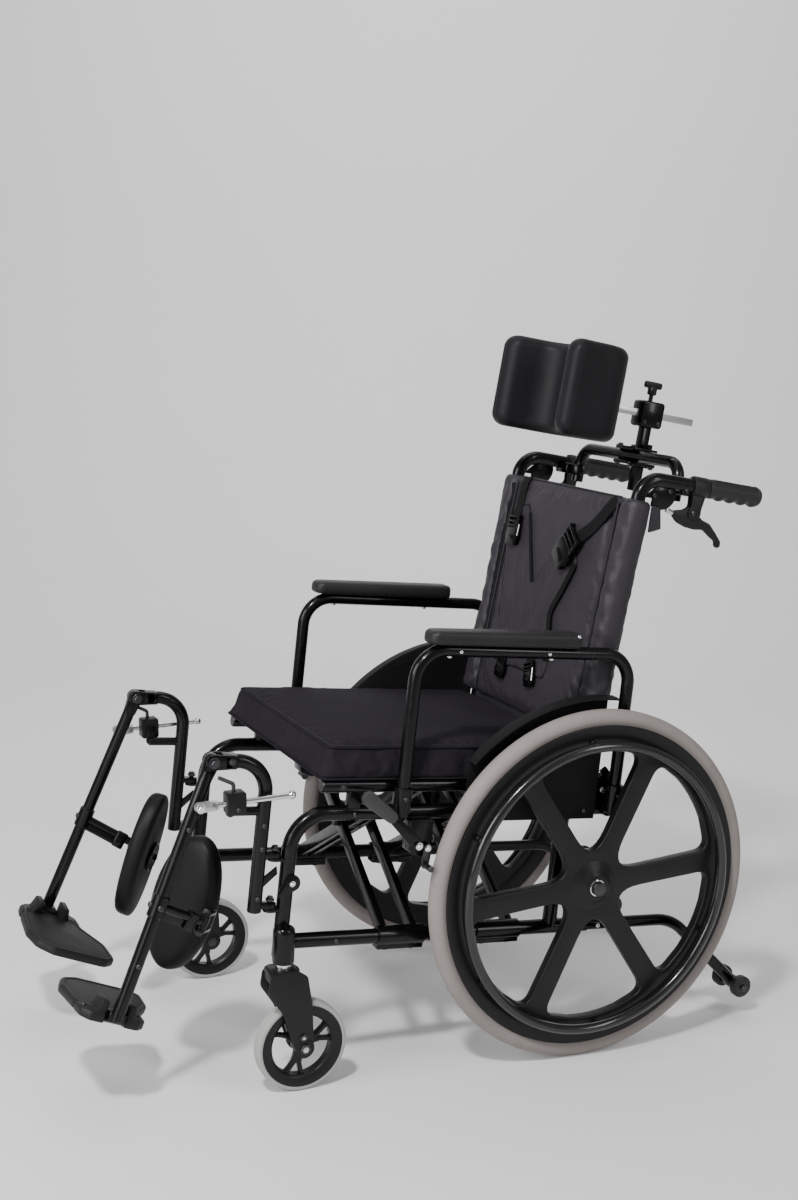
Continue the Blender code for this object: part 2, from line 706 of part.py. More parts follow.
def brake_lever():
    knee = (-0.381, 0.121)
    tip = (-0.424, 0.152)
    body = prism(link(BRAKE_PIVOT, knee, 0.010, 0.008), BRAKE_X, BRAKE_X + 0.0035)
    grip = prism(link(knee, tip, 0.0105, 0.0125), BRAKE_X - 0.0045, BRAKE_X + 0.0085)
    weld(body, grip)
    hole = bore((BRAKE_X - 0.02, *BRAKE_PIVOT), (BRAKE_X + 0.02, *BRAKE_PIVOT), 0.0035, 6)
    return cut(body, hole)


def brake_shoe():
    near = BRAKE_X + 0.0040
    body = prism(link(SHOE_PIVOT, SHOE_TIP, 0.0075, 0.0065), near, near + 0.003)
    weld(body, rod((near + 0.001, *SHOE_TIP), (WHEEL_X + 0.012, *SHOE_TIP), 0.005, 10))
    hole = bore((near - 0.02, *SHOE_PIVOT), (near + 0.02, *SHOE_PIVOT), 0.0035, 6)
    return cut(body, hole)


pair(brake_lever, "brake_lever", "paint", (BRAKE_X, *BRAKE_PIVOT))
pair(brake_shoe, "brake_shoe", "chrome", (BRAKE_X, *SHOE_PIVOT))

# Armrests and skirt guards


def armrest_tube():
    path = [(ARM_X, ARM_FRONT_Y, SOCKET_LOW + 0.0045), (ARM_X, ARM_FRONT_Y, ARM_Z)]
    path += [(ARM_X, ARM_REAR_Y, ARM_Z), (ARM_X, ARM_REAR_Y, SOCKET_LOW + 0.0045)]
    return sweep(path, ARM_TUBE_R, 8, 0.052, 4)


def armrest_pad():
    low = ARM_Z + ARM_TUBE_R * FLAT + SKIN
    front = ARM_FRONT_Y + 0.013
    middle = front + PAD_LONG / 2
    wide = rounded(ARM_X, middle, PAD_WIDE / 2, PAD_LONG / 2, 0.016)
    slim = rounded(ARM_X, middle, PAD_WIDE / 2 - 0.006, PAD_LONG / 2 - 0.006, 0.012)
    foot = rounded(ARM_X, middle, PAD_WIDE / 2 - 0.003, PAD_LONG / 2 - 0.003, 0.014)
    rings = []
    shoulder = low + PAD_HIGH - 0.006
    for outline, z in ((foot, low), (wide, low + 0.006), (wide, shoulder), (slim, low + PAD_HIGH)):
        rings.append([(x, y, z) for x, y in outline])
    return loft(rings)


def skirt_guard():
    low = HIGH_Z - 0.012
    edge = arc(0, 0, GUARD_R, 87, 139, 10)
    panel = [(0.012, low), (0.012, edge[0][1])] + edge + [(edge[-1][0], low)]
    body = prism(panel, GUARD_X, GUARD_X + GUARD_T)
    lip = arc(0, 0, GUARD_R - 0.002, 86.5, 139.5, 12) + arc(0, 0, GUARD_R + 0.002, 139.5, 86.5, 12)
    return weld(body, prism(lip, GUARD_X + 0.0005, GUARD_X + GUARD_LIP))


pair(armrest_tube, "armrest_tube", "paint", (ARM_X, ARM_FRONT_Y, SOCKET_HIGH))
pair(armrest_pad, "armrest_pad", "pad", (ARM_X, ARM_FRONT_Y, ARM_Z))
pair(skirt_guard, "skirt_guard", "nylon", (GUARD_X, 0, HIGH_Z))

# Back posts, grips and triggers, in post coordinates: x, back, up from the recline hinge

TRIGGER_B = COLLAR_START + 0.010
TRIGGER_U = POST_LONG - 0.046
TRIGGER_NOSE = 0.038
RING_U = BAR_U - BAR_DROP + 0.022


def back_post(left):
    path = [(POST_X, 0, -0.018), (POST_X, 0, POST_LONG), (POST_X, HANDLE_LONG - 0.012, POST_LONG)]
    body = sweep(path, POST_R, 8, POST_BEND, 4)
    parts = [rod((POST_X - POST_R, 0, 0), (POST_X + POST_R, 0, 0), 0.0150, 12)]
    clear = BOLSTER_R + 0.004
    disc_left = clear - 0.0105
    disc_right = TRIGGER_B - TRIGGER_NOSE - 0.001
    disc_r = (disc_right - disc_left) / 2
    disc_b = (disc_right + disc_left) / 2
    disc_u = POST_LONG - 0.022
    web = [(0.012, BACK_HIGH + 0.006), (clear, BACK_HIGH + 0.006), (clear, disc_u - 0.857 * disc_r)]
    web += arc(disc_b, disc_u, disc_r, -100, 30, 5)
    web += [(disc_b - 0.006, POST_LONG - 0.004)]
    parts.append(prism(web, POST_X - 0.003, POST_X + 0.003))
    collar_end = COLLAR_START + COLLAR_LONG
    parts.append(rod((POST_X, COLLAR_START, POST_LONG), (POST_X, collar_end, POST_LONG), COLLAR_R, 12))
    neck = [(TRIGGER_B - 0.009, POST_LONG - 0.010), (collar_end - 0.002, POST_LONG - 0.010)]
    neck += [(TRIGGER_B + 0.0175, POST_LONG - 0.024), (TRIGGER_B + 0.0150, TRIGGER_U + 0.008)]
    neck += [(TRIGGER_B + 0.0160, TRIGGER_U - 0.004), (TRIGGER_B + 0.0080, TRIGGER_U - 0.010)]
    neck += [(TRIGGER_B - 0.0080, TRIGGER_U - 0.010), (TRIGGER_B - 0.0105, TRIGGER_U + 0.004)]
    neck += [(TRIGGER_B - 0.0060, TRIGGER_U + 0.012)]
    for side in (-1, 1):
        cheek = sorted((POST_X + side * 0.0046, POST_X + side * 0.0080))
        parts.append(prism(neck, cheek[0], cheek[1]))
    pivot = (POST_X - 0.009, TRIGGER_B, TRIGGER_U)
    parts.append(rod(pivot, (POST_X + 0.009, TRIGGER_B, TRIGGER_U), 0.0030, 6))
    reach = BAR_R + 0.0065
    arm_low = RING_U - 0.010
    arm_high = RING_U + 0.010
    parts.append(box((BAR_HALF + 0.010, BAR_B - 0.022, arm_low), (POST_X, BAR_B - 0.008, arm_high)))
    if left:
        parts.append(rod((BAR_HALF, BAR_B, arm_low), (BAR_HALF, BAR_B, arm_high), reach, 12))
    else:
        cup = arc(BAR_HALF, BAR_B, reach, 180, 360, 6)
        parts.append(prism(cup, arm_low, arm_high, "Z"))
    parts.append(box((POST_X - 0.008, BAR_B - 0.022, arm_low), (POST_X + 0.008, BAR_B - 0.008, POST_LONG)))
    weld(body, *parts)
    holes = [bore((POST_X - 0.05, 0, 0), (POST_X + 0.05, 0, 0), 0.006, 8)]
    cup_low = (BAR_HALF, BAR_B, arm_low - 0.02)
    holes.append(bore(cup_low, (BAR_HALF, BAR_B, arm_high + 0.02), BAR_R, 8))
    cut(body, *holes)
    return move(body, POST)


def push_grip():
    start = HANDLE_LONG - GRIP_LONG
    rings = []
    count = 8
    bumps = [(0, 0.92), (0.06, 1.0), (0.14, 0.97), (0.25, 1.10), (0.36, 0.97), (0.47, 1.10)]
    bumps += [(0.58, 0.97), (0.69, 1.10), (0.80, 0.97), (0.91, 1.12), (1.0, 0.9)]
    for share, swell in bumps:
        b = start + GRIP_LONG * share
        ring = []
        for i in range(count):
            turn = 2 * math.pi * i / count
            low = max(0.0, -math.sin(turn))
            radius = GRIP_R * (1 + (swell - 1) * (low if 0.05 < share < 0.97 else 1))
            ring.append((POST_X + radius * math.cos(turn), b, POST_LONG + radius * math.sin(turn)))
        rings.append(ring)
    body = loft(rings)
    mouth = (POST_X, start - 0.01, POST_LONG)
    cut(body, bore(mouth, (POST_X, HANDLE_LONG - 0.0116, POST_LONG), POST_R, 8))
    return move(body, POST)


def recline_trigger():
    half = 0.0042
    blade = [(-TRIGGER_NOSE, -0.0015), (-0.019, 0.0030), (-0.0105, 0.0085), (0.0135, 0.0100)]
    blade += [(0.0165, -0.0030), (0.0245, -0.0090), (0.0416, -0.0135), (0.0575, -0.0275)]
    blade += [(0.0714, -0.0412), (0.0719, -0.0492), (0.0684, -0.0534), (0.0617, -0.0515)]
    blade += [(0.0590, -0.0425), (0.0471, -0.0363), (0.0295, -0.0262), (0.0112, -0.0279)]
    blade += [(-0.0068, -0.0262), (-0.0273, -0.0205), (-TRIGGER_NOSE, -0.0110)]
    outline = [(TRIGGER_B + b, TRIGGER_U + u) for b, u in blade]
    body = prism(outline, POST_X - half, POST_X + half)
    pivot = (POST_X - 0.02, TRIGGER_B, TRIGGER_U)
    hole = bore(pivot, (POST_X + 0.02, TRIGGER_B, TRIGGER_U), 0.0030, 6)
    return move(cut(body, hole), POST)


POST_ORIGIN = (POST_X, HINGE_Y, HINGE_Z)
place(back_post(True), "back_post_left", "paint", POST_ORIGIN)
place(back_post(False), "back_post_right", "paint", POST_ORIGIN, flip=True)
pair(push_grip, "push_grip", "rubber", POST @ Vector((POST_X, HANDLE_LONG, POST_LONG)))
pair(recline_trigger, "recline_trigger", "nylon", POST @ Vector((POST_X, TRIGGER_B, TRIGGER_U)))

# Upholstery

PANEL_FRONT = -0.015
PANEL_BACK = PANEL_FRONT + BACK_T


def back_section(shrink):
    """Half-ring points of the back: a flat panel between two bolsters round the posts."""
    radius = BOLSTER_R - shrink
    front = PANEL_FRONT + shrink
    rear = PANEL_BACK - shrink
    right = arc(POST_X, 0, radius, -150, 150, 10)
    inner_x = POST_X - BOLSTER_R * 0.87 - 0.014
    outline = [(-inner_x, front), (0, front), (inner_x, front)] + right
    outline += [(inner_x, rear), (0, rear), (-inner_x, rear)]
    outline += [(-x, b) for x, b in reversed(right)]
    return outline


def back_upholstery():
    rings = []
    levels = [(BACK_LOW, 0.006), (BACK_LOW + 0.006, 0.0015), (BACK_LOW + 0.03, 0.0), (BACK_LOW + 0.19, 0.001)]
    levels += [(BACK_HIGH - 0.03, 0.0), (BACK_HIGH - 0.006, 0.0015), (BACK_HIGH, 0.006)]
    for u, shrink in levels:
        rings.append([(x, b, u) for x, b in back_section(shrink)])
    body = loft(rings)
    holes = []
    for side in (-1, 1):
        x = side * POST_X
        holes.append(bore((x, 0, BACK_LOW - 0.02), (x, 0, BACK_HIGH + 0.02), POST_R, 8))
    return move(cut(body, *holes), POST)


def seat_cushion():
    low = RAIL_Z + RAIL_R * FLAT + SKIN
    middle = (CUSHION_FRONT + CUSHION_BACK) / 2
    half_y = (CUSHION_BACK - CUSHION_FRONT) / 2
    rings = []
    steps = [(0.0, 0.006), (0.10, 0.0), (0.45, 0.0085), (0.82, 0.0115), (0.95, 0.016), (1.0, 0.026)]
    steps += [(1.0 + CUSHION_CROWN * 0.6, 0.070), (1.0 + CUSHION_CROWN, 0.130)]
    for share, inset in steps:
        outline = rounded(0, middle + inset * 0.5, CUSHION_HALF - inset, half_y - inset * 0.5, 0.014)
        rings.append([(x, y, low + CUSHION_T * share) for x, y in outline])
    return loft(rings)


def harness_vest():
    left = [(0.016, 0.502), (0.150, 0.498), (0.146, 0.470), (0.100, 0.430), (0.066, 0.372), (0.058, 0.330)]
    left += [(0.072, 0.285), (0.110, 0.236), (0.130, 0.190), (0.128, 0.158), (0.020, 0.158)]
    stretch = VEST_SPAN / 0.37
    left = [(x, VEST_LOW + (u - 0.145) * stretch) for x, u in left]
    outline = left + [(-x, u) for x, u in reversed(left)]
    body = prism(outline, PANEL_FRONT - 0.0065, PANEL_FRONT - SKIN, "Y")
    opening = rounded(0, VEST_LOW + 0.262 * VEST_SPAN / 0.360, 0.005, 0.070 * VEST_SPAN / 0.360, 0.004)
    slot = prism(opening, PANEL_FRONT - 0.02, PANEL_FRONT + 0.01, "Y")
    return move(cut(body, slot), POST)


place(back_upholstery(), "back_upholstery", "cloth", (0, HINGE_Y, HINGE_Z))
place(seat_cushion(), "seat_cushion", "cloth", (0, -0.25, RAIL_Z + RAIL_R))
place(harness_vest(), "harness_vest", "cloth", (0, HINGE_Y, HINGE_Z))

# Headrest

STEM_B = BAR_B + BAR_R + STEM_HALF + 0.0012


def headrest_bar():
    low = BAR_U - BAR_DROP
    path = [(BAR_HALF, BAR_B, low), (BAR_HALF, BAR_B, BAR_U)]
    path += [(-BAR_HALF, BAR_B, BAR_U), (-BAR_HALF, BAR_B, low)]
    body = sweep(path, BAR_R, 8, 0.034, 4)
    parts = []
    for side in (-1, 1):
        level = BAR_U + side * (BAR_R + 0.0022)
        plate = rounded(0, BAR_B + 0.012, 0.030, 0.030, 0.006)
        parts.append(prism(plate, level - 0.0032, level + 0.0032, "Z"))
    top = BAR_U + BAR_R
    parts.append(rod((0.024, STEM_B, BAR_U - BAR_R - 0.008), (0.024, STEM_B, top + 0.008), 0.0045, 8))
    parts.append(rod((0.024, STEM_B, top + 0.004), (0.024, STEM_B, top + 0.014), 0.0075, 10))
    weld(body, *parts)
    side = STEM_HALF + FIT
    hole = box((-side, STEM_B - side, BAR_U - 0.1), (side, STEM_B + side, BAR_U + 0.1))
    return move(cut(body, hole), POST)


def headrest_stem():
    low = BAR_U - 0.063
    body = box((-STEM_HALF, STEM_B - STEM_HALF, low), (STEM_HALF, STEM_B + STEM_HALF, STEM_TOP))
    block = prism(rounded(STEM_B, STEM_TOP, BLOCK_HALF, BLOCK_HALF, 0.004, 2), -0.017, 0.017)
    weld(body, block)
    side = SLIDE_HALF + FIT
    slot = box((-side, STEM_B - 0.06, STEM_TOP - side), (side, STEM_B + 0.06, STEM_TOP + side))
    screw = bore((0, STEM_B, STEM_TOP + side + 0.004), (0, STEM_B, STEM_TOP + 0.06), 0.0040, 10)
    return move(cut(body, slot, screw), POST)


def headrest_slide():
    start = HEAD_BACK + SKIN
    side = SLIDE_HALF
    body = box((-side, start + 0.002, STEM_TOP - side), (side, STEM_B + 0.098, STEM_TOP + side))
    plate = prism(rounded(0, STEM_TOP, 0.050, 0.030, 0.010), start, start + 0.005, "Y")
    return move(weld(body, plate), POST)


def headrest_knob():
    low = STEM_TOP + SLIDE_HALF + 0.006
    top = STEM_TOP + BLOCK_HALF + 0.036
    body = rod((0, STEM_B, low), (0, STEM_B, top - 0.004), 0.0040, 10)
    cap = prism(rounded(0, STEM_B, 0.0065, 0.019, 0.006), top - 0.011, top, "Z")
    collar = rod((0, STEM_B, top - 0.024), (0, STEM_B, top - 0.009), 0.0085, 12)
    return move(weld(body, cap, collar), POST)


def headrest_pad():
    """U-shaped pad: an upright rounded section carried round the U, with softened tips."""
    half = HEAD_T / 2
    tall = (HEAD_HIGH - HEAD_LOW) / 2
    middle = (HEAD_HIGH + HEAD_LOW) / 2
    back = HEAD_BACK - half
    side = HEAD_HALF - half
    tip = HEAD_BACK - HEAD_DEEP
    right = [(0.0, back, 90, 0.0)]
    for turn in (90, 60, 30, 0):
        x = side - HEAD_BEND + HEAD_BEND * math.cos(math.radians(turn))
        b = back - HEAD_BEND + HEAD_BEND * math.sin(math.radians(turn))
        right.append((x, b, turn, 0.0))
    for gap, shrink in ((0.030, 0.0), (0.012, 0.001), (0.003, 0.006), (0.0, 0.013)):
        right.append((side, tip + gap, 0, shrink))
    stations = [(-x, b, 180 - turn, shrink) for x, b, turn, shrink in reversed(right[1:])]
    stations += right
    rings = []
    for x, b, turn, shrink in stations:
        out_x = math.cos(math.radians(turn))
        out_b = math.sin(math.radians(turn))
        ring = []
        for across, up in rounded(0, 0, half - shrink, tall - shrink, min(0.016, (half - shrink) * 0.75)):
            ring.append((x + across * out_x, b + across * out_b, middle + up))
        rings.append(ring)
    return move(loft(rings), POST)


place(headrest_bar(), "headrest_bar", "paint", POST @ Vector((BAR_HALF, BAR_B, RING_U)))
place(headrest_stem(), "headrest_stem", "paint", POST @ Vector((0, STEM_B, STEM_TOP)))
place(headrest_slide(), "headrest_slide", "satin", POST @ Vector((0, STEM_B, STEM_TOP)))
place(headrest_knob(), "headrest_knob", "nylon", POST @ Vector((0, STEM_B, STEM_TOP + BLOCK_HALF)))
place(headrest_pad(), "headrest_pad", "pad", POST @ Vector((0, HEAD_BACK, STEM_TOP)))

# Legrests

CLAMP_Y = PIVOT_Y + ROD_ARM * math.sin(CLAMP_ANGLE)
CLAMP_Z = PIVOT_Z - ROD_ARM * math.cos(CLAMP_ANGLE)
EYE_Y = PIVOT_Y - ROD_ARM * math.sin(LEG_LEAN)
EYE_Z = PIVOT_Z - ROD_ARM * math.cos(LEG_LEAN)
ROD_X = SIDE_X + ROD_OUT
ROD_DIR = Vector((0, CLAMP_Y - EYE_Y, CLAMP_Z - EYE_Z)).normalized()
EAR_IN = 0.0085
EAR_T = 0.004


def legrest_hanger():
    path = [(SIDE_X, HANGER_Y, HANGER_LOW), (SIDE_X, HANGER_Y, PIVOT_Z)]
    path += [(SIDE_X, PIVOT_Y + 0.028, PIVOT_Z)]
    body = sweep(path, HANGER_R, 8, 0.052, 4)
    yoke_low = (SIDE_X - 0.0125, PIVOT_Y + 0.016, PIVOT_Z - 0.0115)
    yoke_high = (SIDE_X + 0.0125, PIVOT_Y + 0.040, PIVOT_Z + 0.0115)
    parts = [box(yoke_low, yoke_high)]
    ear = link((PIVOT_Y, PIVOT_Z), (PIVOT_Y + 0.022, PIVOT_Z), 0.0125, 0.0115)
    for side in (-1, 1):
        lows = sorted((SIDE_X + side * EAR_IN, SIDE_X + side * (EAR_IN + EAR_T)))
        parts.append(prism(ear, lows[0], lows[1]))
    reach = EAR_IN + EAR_T + 0.003
    parts.append(rod((SIDE_X - reach, PIVOT_Y, PIVOT_Z), (SIDE_X + reach, PIVOT_Y, PIVOT_Z), 0.005, 8))
    for z in PIN_LEVELS:
        lug = link((SIDE_X, HANGER_Y), (SIDE_X, SWING_Y), 0.009, 0.0105)
        parts.append(prism(lug, z + SKIN, z + 0.0085, "Z"))
    web = [(HANGER_Y, -0.014), (HANGER_Y, 0.004), (SWING_Y + 0.006, 0.030), (SWING_Y + 0.008, 0.018)]
    parts.append(prism(web, SIDE_X - 0.0025, SIDE_X + 0.0025))
    stub_z = CLAMP_Z - 0.021
    stub = [(SIDE_X, HANGER_Y, stub_z), (SIDE_X, CLAMP_Y - 0.004, stub_z)]
    parts.append(rod(stub[0], stub[1], 0.0075, 8))
    flag = link((CLAMP_Y, stub_z), (CLAMP_Y, CLAMP_Z), 0.0075, 0.0085)
    parts.append(prism(flag, SIDE_X + 0.001, SIDE_X + 0.0085))
    parts.append(rod((SIDE_X + 0.002, CLAMP_Y, CLAMP_Z), (SIDE_X + 0.0150, CLAMP_Y, CLAMP_Z), 0.0040, 6))
    weld(body, *parts)
    holes = []
    for z in PIN_LEVELS:
        holes.append(bore((SIDE_X, SWING_Y, z - 0.002), (SIDE_X, SWING_Y, z + 0.02), 0.0040, 6))
    return cut(body, *holes)


def rod_clamp():
    near = SIDE_X + 0.0085 + FIT
    body = prism(rounded(0, 0, 0.0155, 0.0175, 0.003, 2), near, ROD_X + 0.0095)
    stalk_x = ROD_X - 0.002
    bent = [(stalk_x, -0.002, 0.014), (stalk_x, -0.002, 0.030), (stalk_x, -0.026, 0.043)]
    stalk = sweep(bent, 0.0032, 6, 0.006, 2)
    weld(body, stalk)
    slot = bore((ROD_X, -0.04, 0), (ROD_X, 0.04, 0), ROD_R + 0.0004, 8)
    pin = bore((near - 0.01, 0, 0), (SIDE_X + 0.0153, 0, 0), 0.0040, 6)
    cut(body, slot, pin)
    slope = math.atan2(ROD_DIR.z, ROD_DIR.y)
    return move(body, Matrix.Translation((0, CLAMP_Y, CLAMP_Z)) @ Matrix.Rotation(slope, 4, "X"))


def elevating_rod():
    start = Vector((ROD_X, EYE_Y, EYE_Z))
    aim = Matrix.Translation(start) @ Vector((1, 0, 0)).rotation_difference(ROD_DIR).to_matrix().to_4x4()
    profile = [(0, 0.0062), (0.021, 0.0062), (0.023, ROD_R), (ROD_LONG - 0.0050, ROD_R)]
    for k in range(1, 5):
        turn = math.pi * (0.20 + 0.19 * k)
        profile.append((ROD_LONG - 0.0068 * math.cos(turn), 0.0068 * math.sin(turn)))
    body = spindle(profile, 8, aim)
    eye = rod((ROD_X - 0.0050, EYE_Y, EYE_Z), (ROD_X + 0.0050, EYE_Y, EYE_Z), 0.0095, 10)
    weld(body, eye)
    return cut(body, bore((ROD_X - 0.02, EYE_Y, EYE_Z), (ROD_X + 0.02, EYE_Y, EYE_Z), 0.0040, 6))


# Leg pieces in leg coordinates: origin at the pivot, the tube runs down local Z

CALF_DOWN = 0.236
CALF_ARM_BACK = 0.094
HINGE_X = -0.0150
CALF_IN = -0.034


def leg_tube():
    body = rod((0, 0, -0.0170), (0, 0, -LEG_LONG), LEG_R)
    arm_start = (-0.002, 0, -CALF_DOWN)
    elbow = (CALF_IN, CALF_ARM_BACK, -CALF_DOWN - 0.012)
    parts = [rod(arm_start, elbow, 0.0075, 8)]
    barrel_low = (elbow[0], elbow[1], elbow[2] - 0.011)
    barrel_high = (elbow[0], elbow[1], elbow[2] + 0.011)
    parts.append(rod(barrel_low, barrel_high, 0.0095, 10))
    parts.append(rod((HINGE_X, -0.016, -LEG_LONG), (HINGE_X, 0.016, -LEG_LONG), 0.0095, 10))
    parts.append(box((HINGE_X, -0.014, -LEG_LONG - 0.004), (0.004, 0.014, -LEG_LONG + 0.012)))
    parts.append(rod((0, 0, -CALF_DOWN - 0.018), (0, 0, -CALF_DOWN + 0.018), LEG_R + 0.003, 10))
    move(weld(body, *parts), Matrix.Rotation(-LEG_SPLAY, 4, "Y"))
    tongue = prism(link((0, 0), (0, -0.026), 0.0125, 0.0095), -EAR_IN + FIT, EAR_IN - FIT)
    stud = rod((0.0, 0, -ROD_ARM), (ROD_OUT + 0.0085, 0, -ROD_ARM), 0.0040, 6)
    weld(body, tongue, stud)
    hole = bore((-0.03, 0, 0), (0.03, 0, 0), 0.005, 8)
    move(body, Matrix.Rotation(LEG_SPLAY, 4, "Y"))
    low = -LEG_LONG
    pin_hole = bore((HINGE_X, -0.05, low), (HINGE_X, 0.05, low), 0.0045, 8)
    under = (elbow[0], elbow[1], elbow[2] - 0.03)
    elbow_hole = bore(under, (elbow[0], elbow[1], elbow[2] + 0.03), 0.0040, 8)
    cut(body, pin_hole, elbow_hole)
    move(body, Matrix.Rotation(-LEG_SPLAY, 4, "Y"))
    cut(body, hole)
    return move(body, LEG_PIVOT)


CALF_PIN = Vector((CALF_IN, CALF_ARM_BACK, -CALF_DOWN - 0.012))
CALF_YAW = math.radians(33)
CALF_TILT = math.radians(6)


def calf_pad():
    """Oval pad on a bracket that turns about the upright pin at the end of the leg's arm."""
    rings = []
    steps = [(0.0, 0.010), (0.006, 0.0), (CALF_T - 0.010, 0.001), (CALF_T - 0.003, 0.008), (CALF_T, 0.020)]
    for depth, trim in steps:
        wide = CALF_HALF_W - trim
        high = CALF_HALF_H - trim
        ring = []
        for k in range(16):
            turn = 2 * math.pi * k / 16
            ring.append((wide * math.cos(turn), -depth, high * math.sin(turn)))
        rings.append(ring)
    pad = loft(rings)
    aim = Matrix.Rotation(CALF_YAW, 4, "Z") @ Matrix.Rotation(CALF_TILT, 4, "X")
    move(pad, Matrix.Translation((-0.084, 0.004, 0.010)) @ aim)
    centre = Vector((-0.084, 0.004, 0.010))
    parts = []
    for side in (-1, 1):
        level = side * (0.011 + SKIN + 0.0025)
        strap = link((0, 0), (-0.030, 0.024), 0.0085, 0.0065)
        parts.append(prism(strap, level - 0.0025, level + 0.0025, "Z"))
    spine = rod((-0.030, 0.024, -0.019), (-0.030, 0.024, 0.019), 0.0058, 8)
    parts.append(spine)
    back = aim @ Vector((0.006, 0.002, 0.0)) + centre
    parts.append(rod((-0.030, 0.024, 0), (back.x, back.y + 0.004, back.z), 0.0062, 8))
    disc = rod((0.006, -0.004, 0), (0.006, 0.006, 0), 0.026, 10)
    parts.append(move(disc, Matrix.Translation(centre) @ aim))
    parts.append(rod((0, 0, -0.0175), (0, 0, 0.0175), 0.0040, 8))
    weld(pad, *parts)
    return move(pad, LEG @ Matrix.Translation(CALF_PIN))


def footplate():
    """Plate that folds up about a fore-and-aft pin at the foot of the leg tube."""
    top = 0.0035
    outline = [(-0.014, -0.050), (-0.040, -0.056), (-0.110, -0.060), (-0.150, -0.048), (-FOOT_IN, -0.020)]
    outline += [(-FOOT_IN, 0.074), (-0.150, 0.094), (-0.096, 0.088), (-0.046, 0.058), (-0.014, 0.050)]
    plate = prism(outline, top - FOOT_T, top, "Z")
    parts = []
    for low, high in ((-0.048, -0.0165), (0.0165, 0.048)):
        parts.append(rod((0, low, 0), (0, high, 0), 0.0105, 10))
        parts.append(box((-0.024, low, top - FOOT_T), (0.0, high, top + 0.002)))
    parts.append(rod((0, -0.047, 0), (0, 0.047, 0), 0.0045, 8))
    well = box((-0.0118, -0.0165, -0.03), (0.03, 0.0165, 0.03))
    cut(plate, well)
    weld(plate, *parts)
    return move(plate, LEG @ Matrix.Translation((HINGE_X, 0, -LEG_LONG)))


pair(legrest_hanger, "legrest_hanger", "paint", (SIDE_X, SWING_Y, PIN_LEVELS[0]))
pair(rod_clamp, "rod_clamp", "nylon", (SIDE_X, CLAMP_Y, CLAMP_Z))
pair(elevating_rod, "elevating_rod", "chrome", (ROD_X, EYE_Y, EYE_Z))
pair(leg_tube, "leg_tube", "paint", (SIDE_X, PIVOT_Y, PIVOT_Z))
pair(calf_pad, "calf_pad", "pad", LEG @ CALF_PIN)
pair(footplate, "footplate", "nylon", LEG @ Vector((HINGE_X, 0, -LEG_LONG)))
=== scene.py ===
# %% [markdown]
# # A reclining wheelchair, dressed on its imported frame
# The imported model gives the bodies, their joints and the coarse solids. This lesson puts a
# finer skin over each solid, in the same metres, and lets it ride on the body that carries it.

# %% The frame
import math

import bmesh
import bpy
from mathutils import Matrix, Vector, noise


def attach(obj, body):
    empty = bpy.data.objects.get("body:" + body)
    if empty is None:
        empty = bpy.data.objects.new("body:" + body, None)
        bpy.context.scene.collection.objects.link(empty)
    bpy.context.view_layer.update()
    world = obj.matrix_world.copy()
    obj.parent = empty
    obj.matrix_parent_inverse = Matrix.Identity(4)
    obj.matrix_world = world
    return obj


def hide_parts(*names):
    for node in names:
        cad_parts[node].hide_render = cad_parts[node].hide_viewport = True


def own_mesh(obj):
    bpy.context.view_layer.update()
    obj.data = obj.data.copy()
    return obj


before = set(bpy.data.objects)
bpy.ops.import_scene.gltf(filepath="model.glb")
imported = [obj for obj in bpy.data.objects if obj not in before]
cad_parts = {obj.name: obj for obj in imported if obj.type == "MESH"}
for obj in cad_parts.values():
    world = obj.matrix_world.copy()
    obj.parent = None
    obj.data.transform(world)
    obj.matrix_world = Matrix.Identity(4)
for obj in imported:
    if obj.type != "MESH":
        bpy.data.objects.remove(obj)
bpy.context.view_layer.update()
SIDES = (("left", 1), ("right", -1))


def put(thing):
    """Link a new object into the scene."""
    bpy.context.scene.collection.objects.link(thing)
    return thing


def baked(thing):
    """The mesh that an object's modifiers make of it."""
    view = bpy.context.evaluated_depsgraph_get()
    return bpy.data.meshes.new_from_object(thing.evaluated_get(view))


# %% [markdown]
# ## The camera
# The photograph was measured: the two wheels, the casters and the handles fix where the lens
# stood. Its picture is 798 by 1200, so the focal length in pixels becomes a lens in
# millimetres over the long side of a 36 mm sensor.

# %% Camera
PICTURE_HIGH = 1200
FOCAL_PIXELS = 1598
SENSOR = 36.0
LENS_PLACE = Vector((2.494, -1.171, 1.224))
AZIMUTH = math.radians(64.94)
ELEVATION = math.radians(9.66)
ROLL = math.radians(2.48)

behind = Vector((math.sin(AZIMUTH) * math.cos(ELEVATION), -math.cos(AZIMUTH) * math.cos(ELEVATION),
                 math.sin(ELEVATION)))
level = Vector((math.cos(AZIMUTH), math.sin(AZIMUTH), 0))
upward = behind.cross(level)
camera_x = level * math.cos(ROLL) + upward * math.sin(ROLL)
camera_y = upward * math.cos(ROLL) - level * math.sin(ROLL)
camera_data = bpy.data.cameras.new("camera")
camera_data.sensor_width = SENSOR
camera_data.lens = FOCAL_PIXELS / PICTURE_HIGH * SENSOR
camera = put(bpy.data.objects.new("camera", camera_data))
camera_turn = Matrix((camera_x, camera_y, behind)).transposed().to_4x4()
camera.matrix_world = Matrix.Translation(LENS_PLACE) @ camera_turn
bpy.context.scene.camera = camera
print("lens", round(camera_data.lens, 2), "mm")

# %% [markdown]
# ## Shader maths as plain expressions
# A material is a graph of nodes. One small class wraps a socket, so that a sum or a product
# written in Python adds its own Math node, and one method adds any other node.

